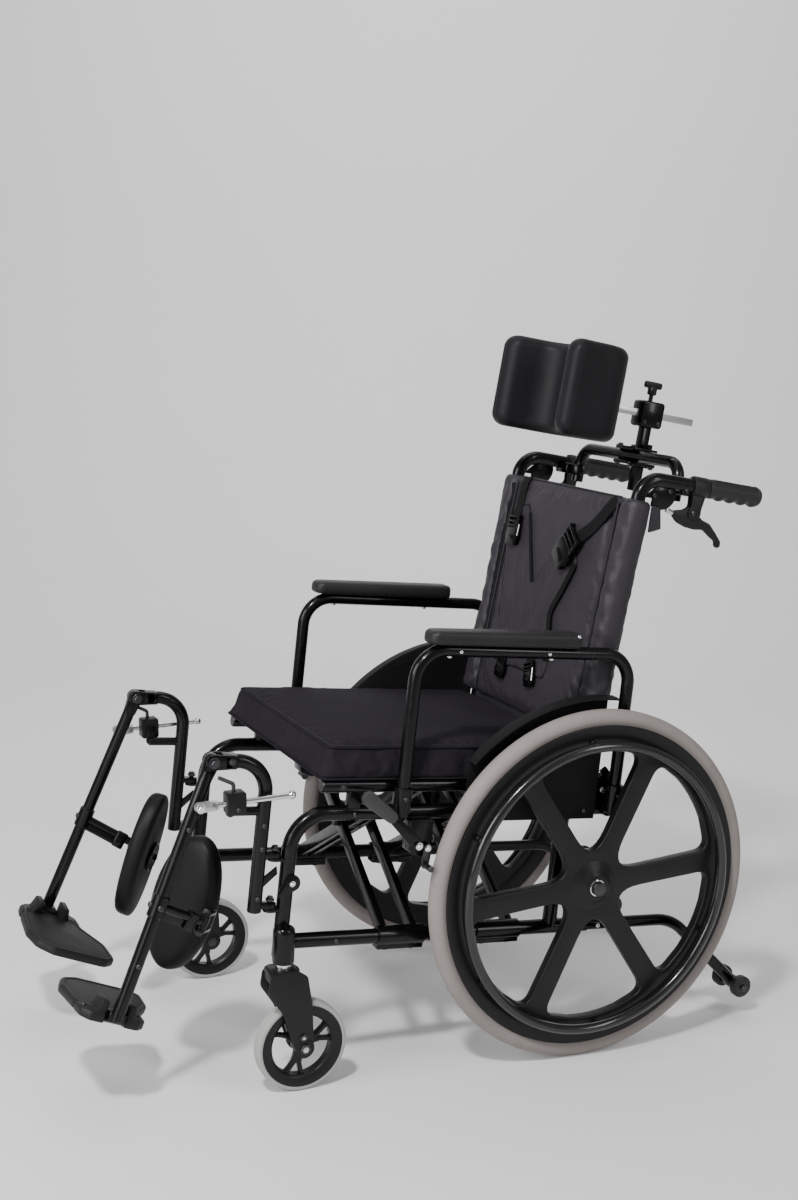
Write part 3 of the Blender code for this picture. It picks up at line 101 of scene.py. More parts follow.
# %% Graph helpers
class Value:
    """A number socket that can be used in an expression."""

    def __init__(self, graph, socket):
        self.graph = graph
        self.socket = socket

    def math(self, operation, other):
        return self.graph.node("ShaderNodeMath", {"operation": operation}, {0: self, 1: other}).out(0)

    def __add__(self, other):
        return self.math("ADD", other)

    def __mul__(self, other):
        return self.math("MULTIPLY", other)

    def __truediv__(self, other):
        return self.math("DIVIDE", other)

    __radd__ = __add__
    __rmul__ = __mul__


class Node:
    """A node whose outputs come out as values."""

    def __init__(self, graph, node):
        self.graph = graph
        self.node = node

    def out(self, key=0):
        return Value(self.graph, self.node.outputs[key])


class Graph:
    """A node tree that grows by one method."""

    def __init__(self, tree):
        self.tree = tree

    def node(self, kind, settings=None, inputs=None):
        """Add a node; an input is a value or a plain number."""
        made = self.tree.nodes.new(kind)
        for key, value in (settings or {}).items():
            setattr(made, key, value)
        for key, value in (inputs or {}).items():
            socket = made.inputs[key]
            if isinstance(value, Value):
                self.tree.links.new(value.socket, socket)
            elif socket.type == "RGBA":
                socket.default_value = (*value, 1)
            else:
                socket.default_value = value
        return Node(self, made)

    def here(self):
        """The point's own coordinates."""
        return self.node("ShaderNodeTexCoord").out("Object")

    def noise(self, scale, detail=3.0, rough=0.55):
        """A noise pattern, from 0 to 1."""
        inputs = {"Vector": self.here(), "Scale": scale, "Detail": detail, "Roughness": rough}
        return self.node("ShaderNodeTexNoise", None, inputs).out("Fac")

    def clamp(self, value, low, high):
        """The value's share of the way from low to high."""
        inputs = {"Value": value, "From Min": low, "From Max": high}
        return self.node("ShaderNodeMapRange", None, inputs).out(0)

    def tone(self, mask, first, second):
        """A blend of two colours."""
        return self.node("ShaderNodeMix", {"data_type": "RGBA"}, {0: mask, 6: first, 7: second}).out(2)


print("graph helpers ready")


# %% Finish
def finish(name, build, **fixed):
    """A material: fixed numbers go on the shader's own sockets, the rest comes from build."""
    material = bpy.data.materials.new(name)
    material.use_nodes = True
    graph = Graph(material.node_tree)
    shader = material.node_tree.nodes["Principled BSDF"]
    for key, value in fixed.items():
        shader.inputs[key.replace("_", " ")].default_value = value
    made = build(graph)
    height = made.pop("height", None)
    if height is not None:
        relief = {"Height": height[0], "Strength": height[1], "Distance": height[2]}
        made["Normal"] = graph.node("ShaderNodeBump", None, relief).out(0)
    for key, value in made.items():
        graph.tree.links.new(value.socket, shader.inputs[key])
    return material


print("finishes can be made")

# %% [markdown]
# ## Finishes
# Gloss black paint on the tubes has a faint orange peel and a little dust. Moulded nylon is
# duller and grained. The solid tyres are warm grey with scuffs, the pads are skinned foam with
# a leather grain, and the covers are a woven nylon in charcoal with a trace of purple.

# %% Paint, nylon and metal
def painted(graph):
    """Gloss paint: clouds of gloss, dust and a fine orange peel."""
    cloud = graph.noise(9.0, 4.0)
    dust = graph.clamp(graph.noise(60.0, 5.0, 0.7), 0.52, 0.78)
    peel = graph.noise(520.0, 2.0)
    colour = graph.tone(dust * 0.5, (0.0024, 0.0024, 0.0027), (0.0085, 0.0082, 0.0082))
    return {"Base Color": colour, "Roughness": 0.17 + cloud * 0.14 + dust * 0.10,
            "height": (peel, 0.10, 0.0004)}


def moulded(name, low, high, rough, grain, shine=0.5, **fixed):
    """Moulded plastic between two tones, with grain and scuffs."""
    def build(graph):
        cloud = graph.noise(14.0, 4.0)
        fine = graph.noise(grain, 2.0)
        scuff = graph.clamp(graph.noise(110.0, 6.0, 0.75), 0.60, 0.80)
        colour = graph.tone(cloud * 0.7 + scuff * 0.3, low, high)
        roughness = rough + cloud * 0.10 + scuff * 0.12
        return {"Base Color": colour, "Roughness": roughness, "height": (fine, 0.16, 0.0005)}
    return finish(name, build, Specular_IOR_Level=shine, **fixed)


def bright(name, colour, rough, streak):
    """Bare metal with streaks and a slight haze."""
    def build(graph):
        lines = graph.noise(streak, 3.0)
        haze = graph.noise(25.0, 4.0)
        tint = graph.tone(haze, colour, tuple(part * 0.86 for part in colour))
        roughness = rough + lines * 0.10 + haze * 0.05
        return {"Base Color": tint, "Roughness": roughness, "height": (lines, 0.05, 0.0002)}
    return finish(name, build, Metallic=1.0)


PAINT = finish("gloss_black_paint", painted, Coat_Weight=0.16, Coat_Roughness=0.04,
               Specular_IOR_Level=0.18)
NYLON = moulded("moulded_nylon", (0.0036, 0.0036, 0.0040), (0.0088, 0.0087, 0.0094), 0.34, 900.0, 0.28)
PUSH = moulded("push_rim_gloss", (0.0050, 0.0050, 0.0056), (0.0105, 0.0105, 0.0115), 0.16, 500.0, 0.40,
               Coat_Weight=0.35)
LEVER = moulded("lever_casting", (0.0065, 0.0066, 0.0070), (0.0120, 0.0121, 0.0126), 0.40, 800.0, 0.28)
GREY = moulded("grey_lever_plastic", (0.020, 0.0205, 0.021), (0.034, 0.0345, 0.035), 0.40, 800.0)
FOOT = moulded("footplate_plastic", (0.0062, 0.0058, 0.0063), (0.0125, 0.0118, 0.0127), 0.46, 620.0, 0.26)
TREAD = moulded("footplate_tread", (0.0062, 0.0058, 0.0063), (0.0135, 0.0127, 0.0137), 0.50, 380.0, 0.24)
MATTE = moulded("matte_guard_sheet", (0.0045, 0.0042, 0.0046), (0.0100, 0.0094, 0.0100), 0.52, 800.0,
                0.14)
CLIP = moulded("buckle_plastic", (0.0014, 0.0014, 0.0016), (0.0036, 0.0036, 0.0040), 0.20, 900.0, 0.22)
GRIP = moulded("grip_rubber", (0.0085, 0.0085, 0.0090), (0.0180, 0.0180, 0.0190), 0.44, 1100.0, 0.36)
CHROME = bright("chrome", (0.80, 0.80, 0.81), 0.07, 300.0)
SATIN = bright("satin_aluminium", (0.62, 0.62, 0.63), 0.26, 700.0)
STEEL = bright("dark_bolt_steel", (0.075, 0.075, 0.080), 0.26, 420.0)
print("hard finishes made")


# %% Tyres, foam and cloth
def solid_tyre(name, low, high, shine):
    """Tyre rubber with clouds, specks and scuffs."""
    def build(graph):
        cloud = graph.noise(16.0, 5.0, 0.65)
        speck = graph.clamp(graph.noise(240.0, 3.0), 0.62, 0.72)
        scuff = graph.clamp(graph.noise(48.0, 7.0, 0.8), 0.55, 0.75)
        colour = graph.tone(cloud * 0.55 + speck * 0.35 + scuff * 0.25, high, low)
        grain = graph.noise(380.0, 4.0)
        return {"Base Color": colour, "Roughness": 0.58 + cloud * 0.22,
                "height": (grain + speck * 0.6, 0.22, 0.0006)}
    return finish(name, build, Specular_IOR_Level=shine)


def skinned(name, low, high, shine):
    """Foam with a leather-like skin."""
    def build(graph):
        cells = {"Vector": graph.here(), "Scale": 620.0}
        grain = graph.node("ShaderNodeTexVoronoi", {"feature": "SMOOTH_F1"}, cells).out(0)
        cloud = graph.noise(12.0, 4.0)
        fine = graph.noise(1500.0, 2.0)
        roughness = 0.36 + cloud * 0.14 + grain * 0.10
        return {"Base Color": graph.tone(cloud, low, high), "Roughness": roughness,
                "height": (grain + fine * 0.4, 0.25, 0.0004)}
    return finish(name, build, Specular_IOR_Level=shine)


def woven(name, dark, light, pitch, shine=0.5, rough=0.66):
    """Cloth with threads at this pitch."""
    def build(graph):
        bands = []
        for direction, share in (("X", 0.34), ("Z", 0.33), ("Y", 0.33)):
            inputs = {"Vector": graph.here(), "Scale": pitch, "Distortion": 0.6}
            wave = graph.node("ShaderNodeTexWave", {"bands_direction": direction}, inputs)
            bands.append(wave.out(1) * share)
        weave = bands[0] + bands[1] + bands[2]
        rumple = graph.noise(26.0, 5.0, 0.6)
        fade = graph.noise(7.0, 3.0)
        colour = graph.tone(fade * 0.6 + rumple * 0.25 + weave * 0.25, dark, light)
        return {"Base Color": colour, "Roughness": rough + weave * 0.12,
                "height": (weave * 0.5 + rumple * 0.8, 0.22, 0.0015)}
    return finish(name, build, Specular_IOR_Level=shine)


TYRE = solid_tyre("warm_grey_tyre", (0.142, 0.124, 0.117), (0.272, 0.243, 0.230), 0.25)
CASTER = solid_tyre("grey_caster_tyre", (0.225, 0.225, 0.222), (0.37, 0.37, 0.362), 0.3)
FOAM = skinned("skinned_foam", (0.0085, 0.0085, 0.0093), (0.0175, 0.0171, 0.0185), 0.26)
HEAD = skinned("headrest_skin", (0.0072, 0.0071, 0.0083), (0.0142, 0.0139, 0.0160), 0.13)
CALF = skinned("calf_pad_skin", (0.0034, 0.0032, 0.0035), (0.0076, 0.0073, 0.0079), 0.15)
CLOTH = woven("charcoal_nylon", (0.0160, 0.0142, 0.0174), (0.0320, 0.0284, 0.0348), 260.0, 0.26, 0.42)
SEATING = woven("seat_nylon", (0.0098, 0.0085, 0.0107), (0.0205, 0.0182, 0.0222), 260.0, 0.03)
VEST = woven("vest_nylon", (0.0172, 0.0144, 0.0176), (0.0345, 0.0295, 0.0360), 300.0, 0.18, 0.50)
WEBBING = woven("black_webbing", (0.0030, 0.0030, 0.0033), (0.0090, 0.0087, 0.0093), 420.0, 0.10)
THREAD = woven("dark_thread", (0.010, 0.010, 0.011), (0.030, 0.029, 0.031), 900.0)
print("soft finishes made")

# %% [markdown]
# ## Tools for the solid pieces
# Most of the chair is bent tube, turned rings and flat plates. A shell collects such closed
# skins as rings of points, in the frame that leans back about the rear axle, and becomes one
# mesh. Its place is in the mesh, so a pattern on Object coordinates stays put.

# %% Places
TILT_ANGLE = math.radians(4.0)
AXLE_Y = 0.2470
WHEEL_R = 0.305
SIDE_X = 0.219
POST_X = 0.210
TILT = Matrix.Translation((0, AXLE_Y, WHEEL_R)) @ Matrix.Rotation(-TILT_ANGLE, 4, "X")
LEVEL = Matrix.Translation((0, AXLE_Y, 0))
POST = TILT @ Matrix.Translation((0, 0.004, 0.150)) @ Matrix.Rotation(math.radians(-4.5), 4, "X")
PIVOT_Y = -0.676
PIVOT_Z = 0.203
LEG_LEAN = math.radians(17.3)
LEG_PIVOT = TILT @ Matrix.Translation((SIDE_X, PIVOT_Y, PIVOT_Z)) @ Matrix.Rotation(-LEG_LEAN, 4, "X")
LEG = LEG_PIVOT @ Matrix.Rotation(math.radians(-3.7), 4, "Y")
print("frame leans", round(math.degrees(TILT_ANGLE), 1), "degrees")


# %% Outlines
def turns(count):
    """Even angles once round."""
    return [2 * math.pi * k / count for k in range(count)]


def arc(cx, cy, radius, start, stop, steps):
    """Points along an arc between two angles in degrees."""
    points = []
    for k in range(steps + 1):
        turn = math.radians(start + (stop - start) * k / steps)
        points.append((cx + radius * math.cos(turn), cy + radius * math.sin(turn)))
    return points


def rounded(cx, cy, half_x, half_y, radius, steps=5):
    """A rectangle with round corners."""
    points = []
    for sx, sy, start in ((1, 1, 0), (-1, 1, 90), (-1, -1, 180), (1, -1, 270)):
        corner = (cx + sx * (half_x - radius), cy + sy * (half_y - radius))
        points += arc(*corner, radius, start, start + 90, steps)
    return points


def link(first, second, r_first, r_second, steps=12):
    """A flat link with two round ends."""
    angle = math.degrees(math.atan2(second[1] - first[1], second[0] - first[0]))
    points = arc(*first, r_first, angle + 90, angle + 270, steps)
    return points + arc(*second, r_second, angle - 90, angle + 90, steps)


def bush(low, high, radius, lip=0.001, step=0.001):
    """The profile of a short cylinder with eased ends."""
    return [(low, radius - step), (low + lip, radius), (high - lip, radius), (high, radius - step)]


def two_sided(half, *crown):
    """A profile from one half, its mirror image and what lies between."""
    return [(-a, r) for a, r in half] + list(crown) + half[::-1]


print("outline tools ready")


# %% Rounded outlines
def eased(corners, steps=5):
    """Round each (x, y, radius) corner of a closed outline."""
    points = []
    count = len(corners)
    for i in range(count):
        here = Vector(corners[i][:2])
        before = Vector(corners[i - 1][:2])
        after = Vector(corners[(i + 1) % count][:2])
        back = (before - here).normalized()
        ahead = (after - here).normalized()
        half = math.acos(max(-1, min(1, back.dot(ahead)))) / 2
        radius = corners[i][2]
        if radius < 1e-6 or half > 1.55:
            points.append(tuple(here))
            continue
        reach = min(radius / math.tan(half), (before - here).length * 0.49, (after - here).length * 0.49)
        start = here + back * reach
        stop = here + ahead * reach
        for k in range(steps + 1):
            t = k / steps
            points.append(tuple(start * (1 - t) ** 2 + here * 2 * t * (1 - t) + stop * t ** 2))
    return points


def inset(outline, amount):
    """The outline moved inward by this amount, corner by corner."""
    area = 0.0
    count = len(outline)
    for i in range(count):
        area += outline[i - 1][0] * outline[i][1] - outline[i][0] * outline[i - 1][1]
    sign = 1 if area > 0 else -1
    moved = []
    for i in range(count):
        here = Vector(outline[i])
        before = (here - Vector(outline[i - 1])).normalized()
        after = (Vector(outline[(i + 1) % count]) - here).normalized()
        first = Vector((-before.y, before.x)) * sign
        second = Vector((-after.y, after.x)) * sign
        middle = first + second
        share = max(0.5, 1 + first.dot(second))
        moved.append(tuple(here + middle * (amount / share)))
    return moved


def filleted(points, bend, steps):
    """A path whose inner corners are turned into arcs."""
    points = [Vector(p) for p in points]
    path = [points[0]]
    for before, here, after in zip(points, points[1:], points[2:]):
        back = (before - here).normalized()
        ahead = (after - here).normalized()
        half = back.angle(ahead) / 2
        reach = min(bend / math.tan(half), (before - here).length * 0.9, (after - here).length * 0.9)
        radius = reach * math.tan(half)
        middle = here + (back + ahead).normalized() * (radius / math.sin(half))
        start = here + back * reach - middle
        stop = here + ahead * reach - middle
        axis = start.cross(stop).normalized()
        for k in range(steps + 1):
            path.append(middle + Matrix.Rotation(start.angle(stop) * k / steps, 3, axis) @ start)
    return path + [points[-1]]


print("rounding tools ready")


# %% Shells
class Shell:
    """Closed skins that become one mesh."""

    def __init__(self):
        self.points = []
        self.faces = []

    def skin(self, rings, place=None, loop=False):
        """Join rings of points, and close both ends or the loop."""
        start = len(self.points)
        count = len(rings[0])
        for ring in rings:
            for point in ring:
                self.points.append(place @ Vector(point) if place else Vector(point))
        for r in range(len(rings) if loop else len(rings) - 1):
            here = start + r * count
            there = start + (r + 1) % len(rings) * count
            for i in range(count):
                j = (i + 1) % count
                self.faces.append((here + i, here + j, there + j, there + i))
        if not loop:
            last = start + (len(rings) - 1) * count
            self.faces.append(tuple(range(start + count - 1, start - 1, -1)))
            self.faces.append(tuple(range(last, last + count)))
        return self

    def tube(self, points, radius, bend=0.05, sides=20, steps=10, lip=0.0012, place=None):
        """A tube along a line of points, with rounded bends and eased ends."""
        path = filleted(points, bend, steps)
        ahead = (path[1] - path[0]).normalized()
        side = Vector((1, 0, 0)) if abs(ahead.x) < 0.8 else Vector((0, 0, 1))
        stations = [(path[0], radius - lip), (path[0] + ahead * lip, radius)]
        stations += [(point, radius) for point in path[1:-1]]
        ahead = (path[-1] - path[-2]).normalized()
        stations += [(path[-1] - ahead * lip, radius), (path[-1], radius - lip)]
        rings = []
        for i, (point, size) in enumerate(stations):
            ahead = (stations[min(i + 1, len(stations) - 1)][0] - stations[max(i - 1, 0)][0]).normalized()
            side = (side - ahead * side.dot(ahead)).normalized()
            up = ahead.cross(side)
            rings.append([point + (side * math.cos(t) + up * math.sin(t)) * size for t in turns(sides)])
        return self.skin(rings, place)

    def rod(self, start, stop, radius, sides=20, lip=0.0008, place=None):
        """A straight tube."""
        return self.tube([start, stop], radius, 0.01, sides, 1, lip, place)

    def turned(self, profile, place, segments=40, loop=False):
        """Turn (along, radius) pairs about the local X axis."""
        rings = [[(a, r * math.cos(t), r * math.sin(t)) for a, r in profile] for t in turns(segments)]
        if loop:
            return self.skin(rings, place, loop=True)
        return self.skin([list(ring) for ring in zip(*rings)], place)

    def plate(self, outline, low, high, axis="X", edge=0.001, place=None):
        """A flat plate with softened edges: (y, z) along X, (x, z) along Y or (x, y) along Z."""
        edge = min(edge, (high - low) * 0.45)
        soft = edge * 0.3
        rings = []
        for level, amount in ((low, edge), (low + soft, soft), (low + edge, 0.0), (high - edge, 0.0),
                              (high - soft, soft), (high, edge)):
            ring = []
            for a, b in inset(outline, amount) if amount else outline:
                ring.append({"X": (level, a, b), "Y": (a, level, b), "Z": (a, b, level)}[axis])
            rings.append(ring)
        return self.skin(rings, place)

    def cheeks(self, outline, x, inner, outer, edge, place=None):
        """Two plates across X, the same way out from the middle on either side."""
        for low, high in ((inner, outer), (-outer, -inner)):
            self.plate(outline, x + low, x + high, "X", edge, place)

    def block(self, low, high, edge=0.0015, place=None):
        """A box between two corners, with soft edges."""
        middle = [(a + b) / 2 for a, b in zip(low, high)]
        half = [(b - a) / 2 for a, b in zip(low, high)]
        corner = min(edge * 1.5, half[0] * 0.6, half[1] * 0.6)
        outline = rounded(middle[0], middle[1], half[0], half[1], corner, 3)
        return self.plate(outline, low[2], high[2], "Z", edge, place)

    def thing(self, name, look, place=TILT, smooth=34):
        """The shell as an object in the scene."""
        mesh = bpy.data.meshes.new(name)
        mesh.from_pydata([tuple(place @ p) for p in self.points], [], self.faces)
        return settle(mesh, name, look, smooth)


print("shells ready")


# %% Pieces
def shade_smooth(mesh):
    """Mark every face as smooth."""
    mesh.polygons.foreach_set("use_smooth", [True] * len(mesh.polygons))


def settle(mesh, name, look, smooth=34):
    """Turn the faces outward, shade by angle and put the mesh in the scene."""
    work = bmesh.new()
    work.from_mesh(mesh)
    bmesh.ops.recalc_face_normals(work, faces=work.faces)
    work.to_mesh(mesh)
    work.free()
    shade_smooth(mesh)
    mesh.set_sharp_from_angle(angle=math.radians(smooth))
    mesh.materials.clear()
    mesh.materials.append(look)
    mesh.name = name
    return put(bpy.data.objects.new(name, mesh))


def mirrored(thing, name):
    """A copy of a left piece on the right side."""
    mesh = thing.data.copy()
    mesh.transform(Matrix.Scale(-1, 4, (1, 0, 0)))
    mesh.flip_normals()
    mesh.name = name
    return put(bpy.data.objects.new(name, mesh))


def carry(thing, body, slot, *nodes):
    """Let a piece ride on a body and hide the solids it stands for; the slot is not used."""
    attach(thing, body)
    if nodes:
        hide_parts(*nodes)
    return thing


def both(shell, name, look, body, slot, node=None, place=TILT, smooth=34):
    """The left piece and its mirror image, each on the body of its own side."""
    left = shell.thing(name + "_skin_left", look, place, smooth)
    right = mirrored(left, name + "_skin_right")
    for thing, (side, _) in zip((left, right), SIDES):
        carry(thing, body + "_" + side, slot, *([node + "_" + side] if node else []))
    return left, right


def odd_pair(left, right, name, body, place=TILT):
    """Painted pieces that differ from side to side, both drawn as a left one."""
    carry(left.thing(name + "_skin_left", PAINT, place), body + "_left", "paint", name + "_left")
    spare = right.thing("spare", PAINT, place)
    carry(mirrored(spare, name + "_skin_right"), body + "_right", "paint", name + "_right")
    bpy.data.objects.remove(spare, do_unlink=True)


print("pieces can be carried")


# %% Turned places
def along_x(y, z, x=0.0):
    """A place moved to this spot and not turned."""
    return Matrix.Translation((x, y, z))


def standing(spot):
    """A place whose local X axis points up."""
    return Matrix.Translation(spot) @ Matrix.Rotation(math.radians(-90), 4, "Y")


def lying(spot):
    """A place whose local X axis points to the rear."""
    return Matrix.Translation(spot) @ Matrix.Rotation(math.radians(90), 4, "Z")


def aimed(start, direction):
    """A place whose local X axis points along this direction."""
    turn = Vector((1, 0, 0)).rotation_difference(Vector(direction)).to_matrix().to_4x4()
    return Matrix.Translation(start) @ turn


print("tools ready")

# %% [markdown]
# ## Repeats by Geometry Nodes
# Three small trees make what comes in numbers: copies turned about an axle, heads set on
# points (screws, rivets, knurls), and stitches along a line. Each takes the repeated shape
# as an input, realises its copies and gives them a material, and the result is a plain mesh.

# %% Trees
def new_tree(name, inputs):
    """An empty tree with a mesh in, a mesh out and these inputs."""
    group = bpy.data.node_groups.new(name, "GeometryNodeTree")
    group.interface.new_socket("Geometry", in_out="INPUT", socket_type="NodeSocketGeometry")
    for label, kind in inputs:
        group.interface.new_socket(label, in_out="INPUT", socket_type="NodeSocket" + kind)
    group.interface.new_socket("Geometry", in_out="OUTPUT", socket_type="NodeSocketGeometry")
    graph = Graph(group)
    return group, graph, graph.node("NodeGroupInput")


def close_tree(graph, start, points, shape, **more):
    """Set the shape on the points, make the copies real and give them the finish."""
    inputs = {"Points": points, "Instance": shape, **more}
    copies = graph.node("GeometryNodeInstanceOnPoints", None, inputs).out()
    real = graph.node("GeometryNodeRealizeInstances", None, {0: copies}).out()
    inputs = {"Geometry": real, "Material": start.out("Finish")}
    dressed = graph.node("GeometryNodeSetMaterial", None, inputs).out()
    graph.node("NodeGroupOutput", None, {0: dressed})


def shape_of(graph, start):
    """The mesh of the object that is to be copied."""
    return graph.node("GeometryNodeObjectInfo", None, {"Object": start.out("Shape")}).out("Geometry")


def aligned(graph, direction):
    """A rotation that brings local X to this direction."""
    return graph.node("FunctionNodeAlignRotationToVector", {"axis": "X"}, {"Vector": direction}).out()


def turning_tree():
    """Copies at even angles about the X axis."""
    group, graph, start = new_tree("turned copies", [("Count", "Int"), ("Finish", "Material")])
    points = graph.node("GeometryNodePoints", None, {"Count": start.out("Count")}).out()
    turn = graph.node("GeometryNodeInputIndex").out() * (2 * math.pi) / start.out("Count")
    euler = graph.node("ShaderNodeCombineXYZ", None, {0: turn}).out()
    rotation = graph.node("FunctionNodeEulerToRotation", None, {0: euler}).out()
    close_tree(graph, start, points, start.out("Geometry"), Rotation=rotation)
    return group


def heads_tree():
    """A shape on each point, by the point's own aim and size."""
    group, graph, start = new_tree("heads on points", [("Shape", "Object"), ("Finish", "Material")])
    marks = {}
    for name, kind in (("aim", "FLOAT_VECTOR"), ("size", "FLOAT")):
        marks[name] = graph.node("GeometryNodeInputNamedAttribute", {"data_type": kind},
                                 {"Name": name}).out()
    turn = aligned(graph, marks["aim"])
    close_tree(graph, start, start.out("Geometry"), shape_of(graph, start), Rotation=turn,
               Scale=marks["size"])
    return group


def stitch_tree():
    """A shape at an even pitch along each line."""
    inputs = [("Shape", "Object"), ("Pitch", "Float"), ("Finish", "Material")]
    group, graph, start = new_tree("stitches", inputs)
    curve = graph.node("GeometryNodeMeshToCurve", None, {"Mesh": start.out("Geometry")}).out()
    inputs = {"Curve": curve, "Length": start.out("Pitch")}
    spaced = graph.node("GeometryNodeResampleCurve", {"mode": "LENGTH"}, inputs).out()
    turn = aligned(graph, graph.node("GeometryNodeInputTangent").out())
    close_tree(graph, start, spaced, shape_of(graph, start), Rotation=turn)
    return group


TURNED = turning_tree()
HEADS = heads_tree()
STITCHES = stitch_tree()
print("trees", TURNED.name, HEADS.name, STITCHES.name)


# %% Plain meshes from trees
def grown(mesh, tree, values):
    """Run a tree on a mesh and return the plain mesh that comes out."""
    carrier = put(bpy.data.objects.new("carrier", mesh))
    step = carrier.modifiers.new("repeat", "NODES")
    step.node_group = tree
    for item in tree.interface.items_tree:
        if item.in_out == "INPUT" and item.name in values:
            step[item.identifier] = values[item.name]
    result = baked(carrier)
    bpy.data.objects.remove(carrier, do_unlink=True)
    return result


def absorb(shell, mesh, place=None):
    """Add the skins of a plain mesh to a shell."""
    start = len(shell.points)
    for vertex in mesh.vertices:
        shell.points.append(place @ vertex.co if place else vertex.co.copy())
    for face in mesh.polygons:
        shell.faces.append(tuple(start + index for index in face.vertices))
    bpy.data.meshes.remove(mesh)


def repeat(shell, piece, count, place, look=NYLON):
    """Add turned copies of a small shell about the local X axis."""
    mesh = bpy.data.meshes.new("one")
    mesh.from_pydata([tuple(p) for p in piece.points], [], piece.faces)
    absorb(shell, grown(mesh, TURNED, {"Count": count, "Finish": look}), place)


def windowed(shell, outer, windows, low, high, edge, place=None):
    """A flat plate with holes: outlines are (y, z), the plate stands across X."""
    curve = bpy.data.curves.new("outlines", "CURVE")
    curve.dimensions = "2D"
    curve.fill_mode = "BOTH"
    curve.extrude = (high - low) / 2 - edge
    curve.bevel_depth = edge
    curve.bevel_resolution = 2
    curve.offset = -edge
    for outline in [outer] + windows:
        spline = curve.splines.new("POLY")
        spline.points.add(len(outline) - 1)
        for point, (a, b) in zip(spline.points, outline):
            point.co = (a, b, 0, 1)
        spline.use_cyclic_u = True
    carrier = put(bpy.data.objects.new("outlines", curve))
    mesh = baked(carrier)
    bpy.data.objects.remove(carrier, do_unlink=True)
    work = bmesh.new()
    work.from_mesh(mesh)
    bmesh.ops.remove_doubles(work, verts=work.verts, dist=0.00002)
    work.to_mesh(mesh)
    work.free()
    stand = Matrix(((0, 0, 1, (low + high) / 2), (1, 0, 0, 0), (0, 1, 0, 0), (0, 0, 0, 1)))
    absorb(shell, mesh, place @ stand if place else stand)


print("repeats ready")

# %% [markdown]
# ## Rear wheels
# One moulding: a deep rim band, six flat spokes and a hub. The spokes are what is left of a
# disc after six rounded windows are cut, so every inside corner is a fillet, as a mould needs.
# The push rim is a ring of tube on six stubs, and the tyre is solid and pressed over the rim.

# %% Tyres and rims
WHEEL_X = 0.281
SPOKE_TURN = 9
HUB_PLACE = along_x(0, 0, WHEEL_X)
walls = [(0.0106, 0.2765), (0.0112, 0.2800), (0.0145, 0.2835), (0.0166, 0.2872), (0.0170, 0.2912),
         (0.0161, 0.2955), (0.0137, 0.2995), (0.0101, 0.3027), (0.0056, 0.3045)]
tyre = Shell().turned(two_sided(walls, (0.0, WHEEL_R)), HUB_PLACE, 168, loop=True)
both(tyre, "rear_tyre", TYRE, "rear_wheel", "tyre", "rear_tyre")

wheel = Shell()
flange = [(0.0108, 0.2764), (0.0112, 0.2798), (0.0136, 0.2800), (0.0144, 0.2788), (0.0132, 0.2640),
          (0.0116, 0.2535), (0.0096, 0.2500)]
wheel.turned(two_sided(flange), HUB_PLACE, 168, loop=True)


def window(turn, half_spoke, inner_round, reach, corner):
    """A rounded gap between two spokes, centred on this angle."""
    middle = math.radians(turn)
    start = half_spoke / math.sin(math.radians(30))
    spread = 30 - math.degrees(math.asin(half_spoke * 1.12 / reach))
    corners = [(start * math.cos(middle), start * math.sin(middle), inner_round)]
    for share in (-1, -0.45, -0.3, -0.15, 0, 0.15, 0.3, 0.45, 1):
        angle = middle + math.radians(spread * share)
        radius = corner if abs(share) == 1 else 0.02
        corners.append((reach * math.cos(angle), reach * math.sin(angle), radius))
    return eased(corners, 8)


gaps = [window(SPOKE_TURN + 30 + 60 * k, 0.0172, 0.036, 0.2365, 0.021) for k in range(6)]
windowed(wheel, arc(0, 0, 0.2530, 0, 357.5, 143), gaps, WHEEL_X - 0.009, WHEEL_X + 0.009, 0.0030)
hub = [(-0.0371, 0.0150), (-0.0371, 0.0205), (-0.0355, 0.0220), (-0.0200, 0.0265), (-0.0095, 0.0345),
       (0.0085, 0.0440), (0.0096, 0.0420), (0.0120, 0.0360), (0.0150, 0.0300), (0.0180, 0.0256),
       (0.0198, 0.0232), (0.0208, 0.0215), (0.0212, 0.0195)]
wheel.turned(hub, HUB_PLACE, 64)
print("tyres", round(2 * WHEEL_R * 1000), "mm across")

# %% Push rims
PUSH_R = 0.0085
STUB_R = 0.2525
push = Shell()
push_profile = [(0.029 + PUSH_R * math.cos(t), 0.2485 + PUSH_R * math.sin(t)) for t in turns(20)]
push.turned(push_profile, HUB_PLACE, 168, loop=True)
for shell, start, stop in ((wheel, 0.004, 0.0180), (push, 0.0183, 0.0290)):
    stub = Shell().rod((start, 0, STUB_R), (stop, 0, STUB_R), 0.0055, 20)
    repeat(shell, stub, 6, HUB_PLACE @ Matrix.Rotation(math.radians(SPOKE_TURN - 60), 4, "X"))
both(wheel, "rear_wheel", NYLON, "rear_wheel", "nylon", "rear_wheel")
both(push, "push_rim", PUSH, "rear_wheel", "nylon", "push_rim")
print("wheels and push rims")

# %% Axles
axle = Shell()
axle.rod((0.2146, 0, 0), (0.307, 0, 0), 0.006)
axle.turned([(0.2097, 0.0095), (0.2102, 0.0105), (0.2180, 0.0105), (0.2186, 0.0095)], along_x(0, 0), 6)
axle.turned([(0.3025, 0.0125), (0.3100, 0.0125), (0.3118, 0.0115), (0.3124, 0.0090)], along_x(0, 0), 32)
both(axle, "wheel_axle", STEEL, "frame", "paint", "wheel_axle")
shine = Shell().turned([(0.3022, 0.0146), (0.3040, 0.0146), (0.3046, 0.0138)], along_x(0, 0), 40)
both(shine, "axle_washer", CHROME, "frame", "chrome")
print("rear wheels", round(2 * WHEEL_R * 1000), "mm across")

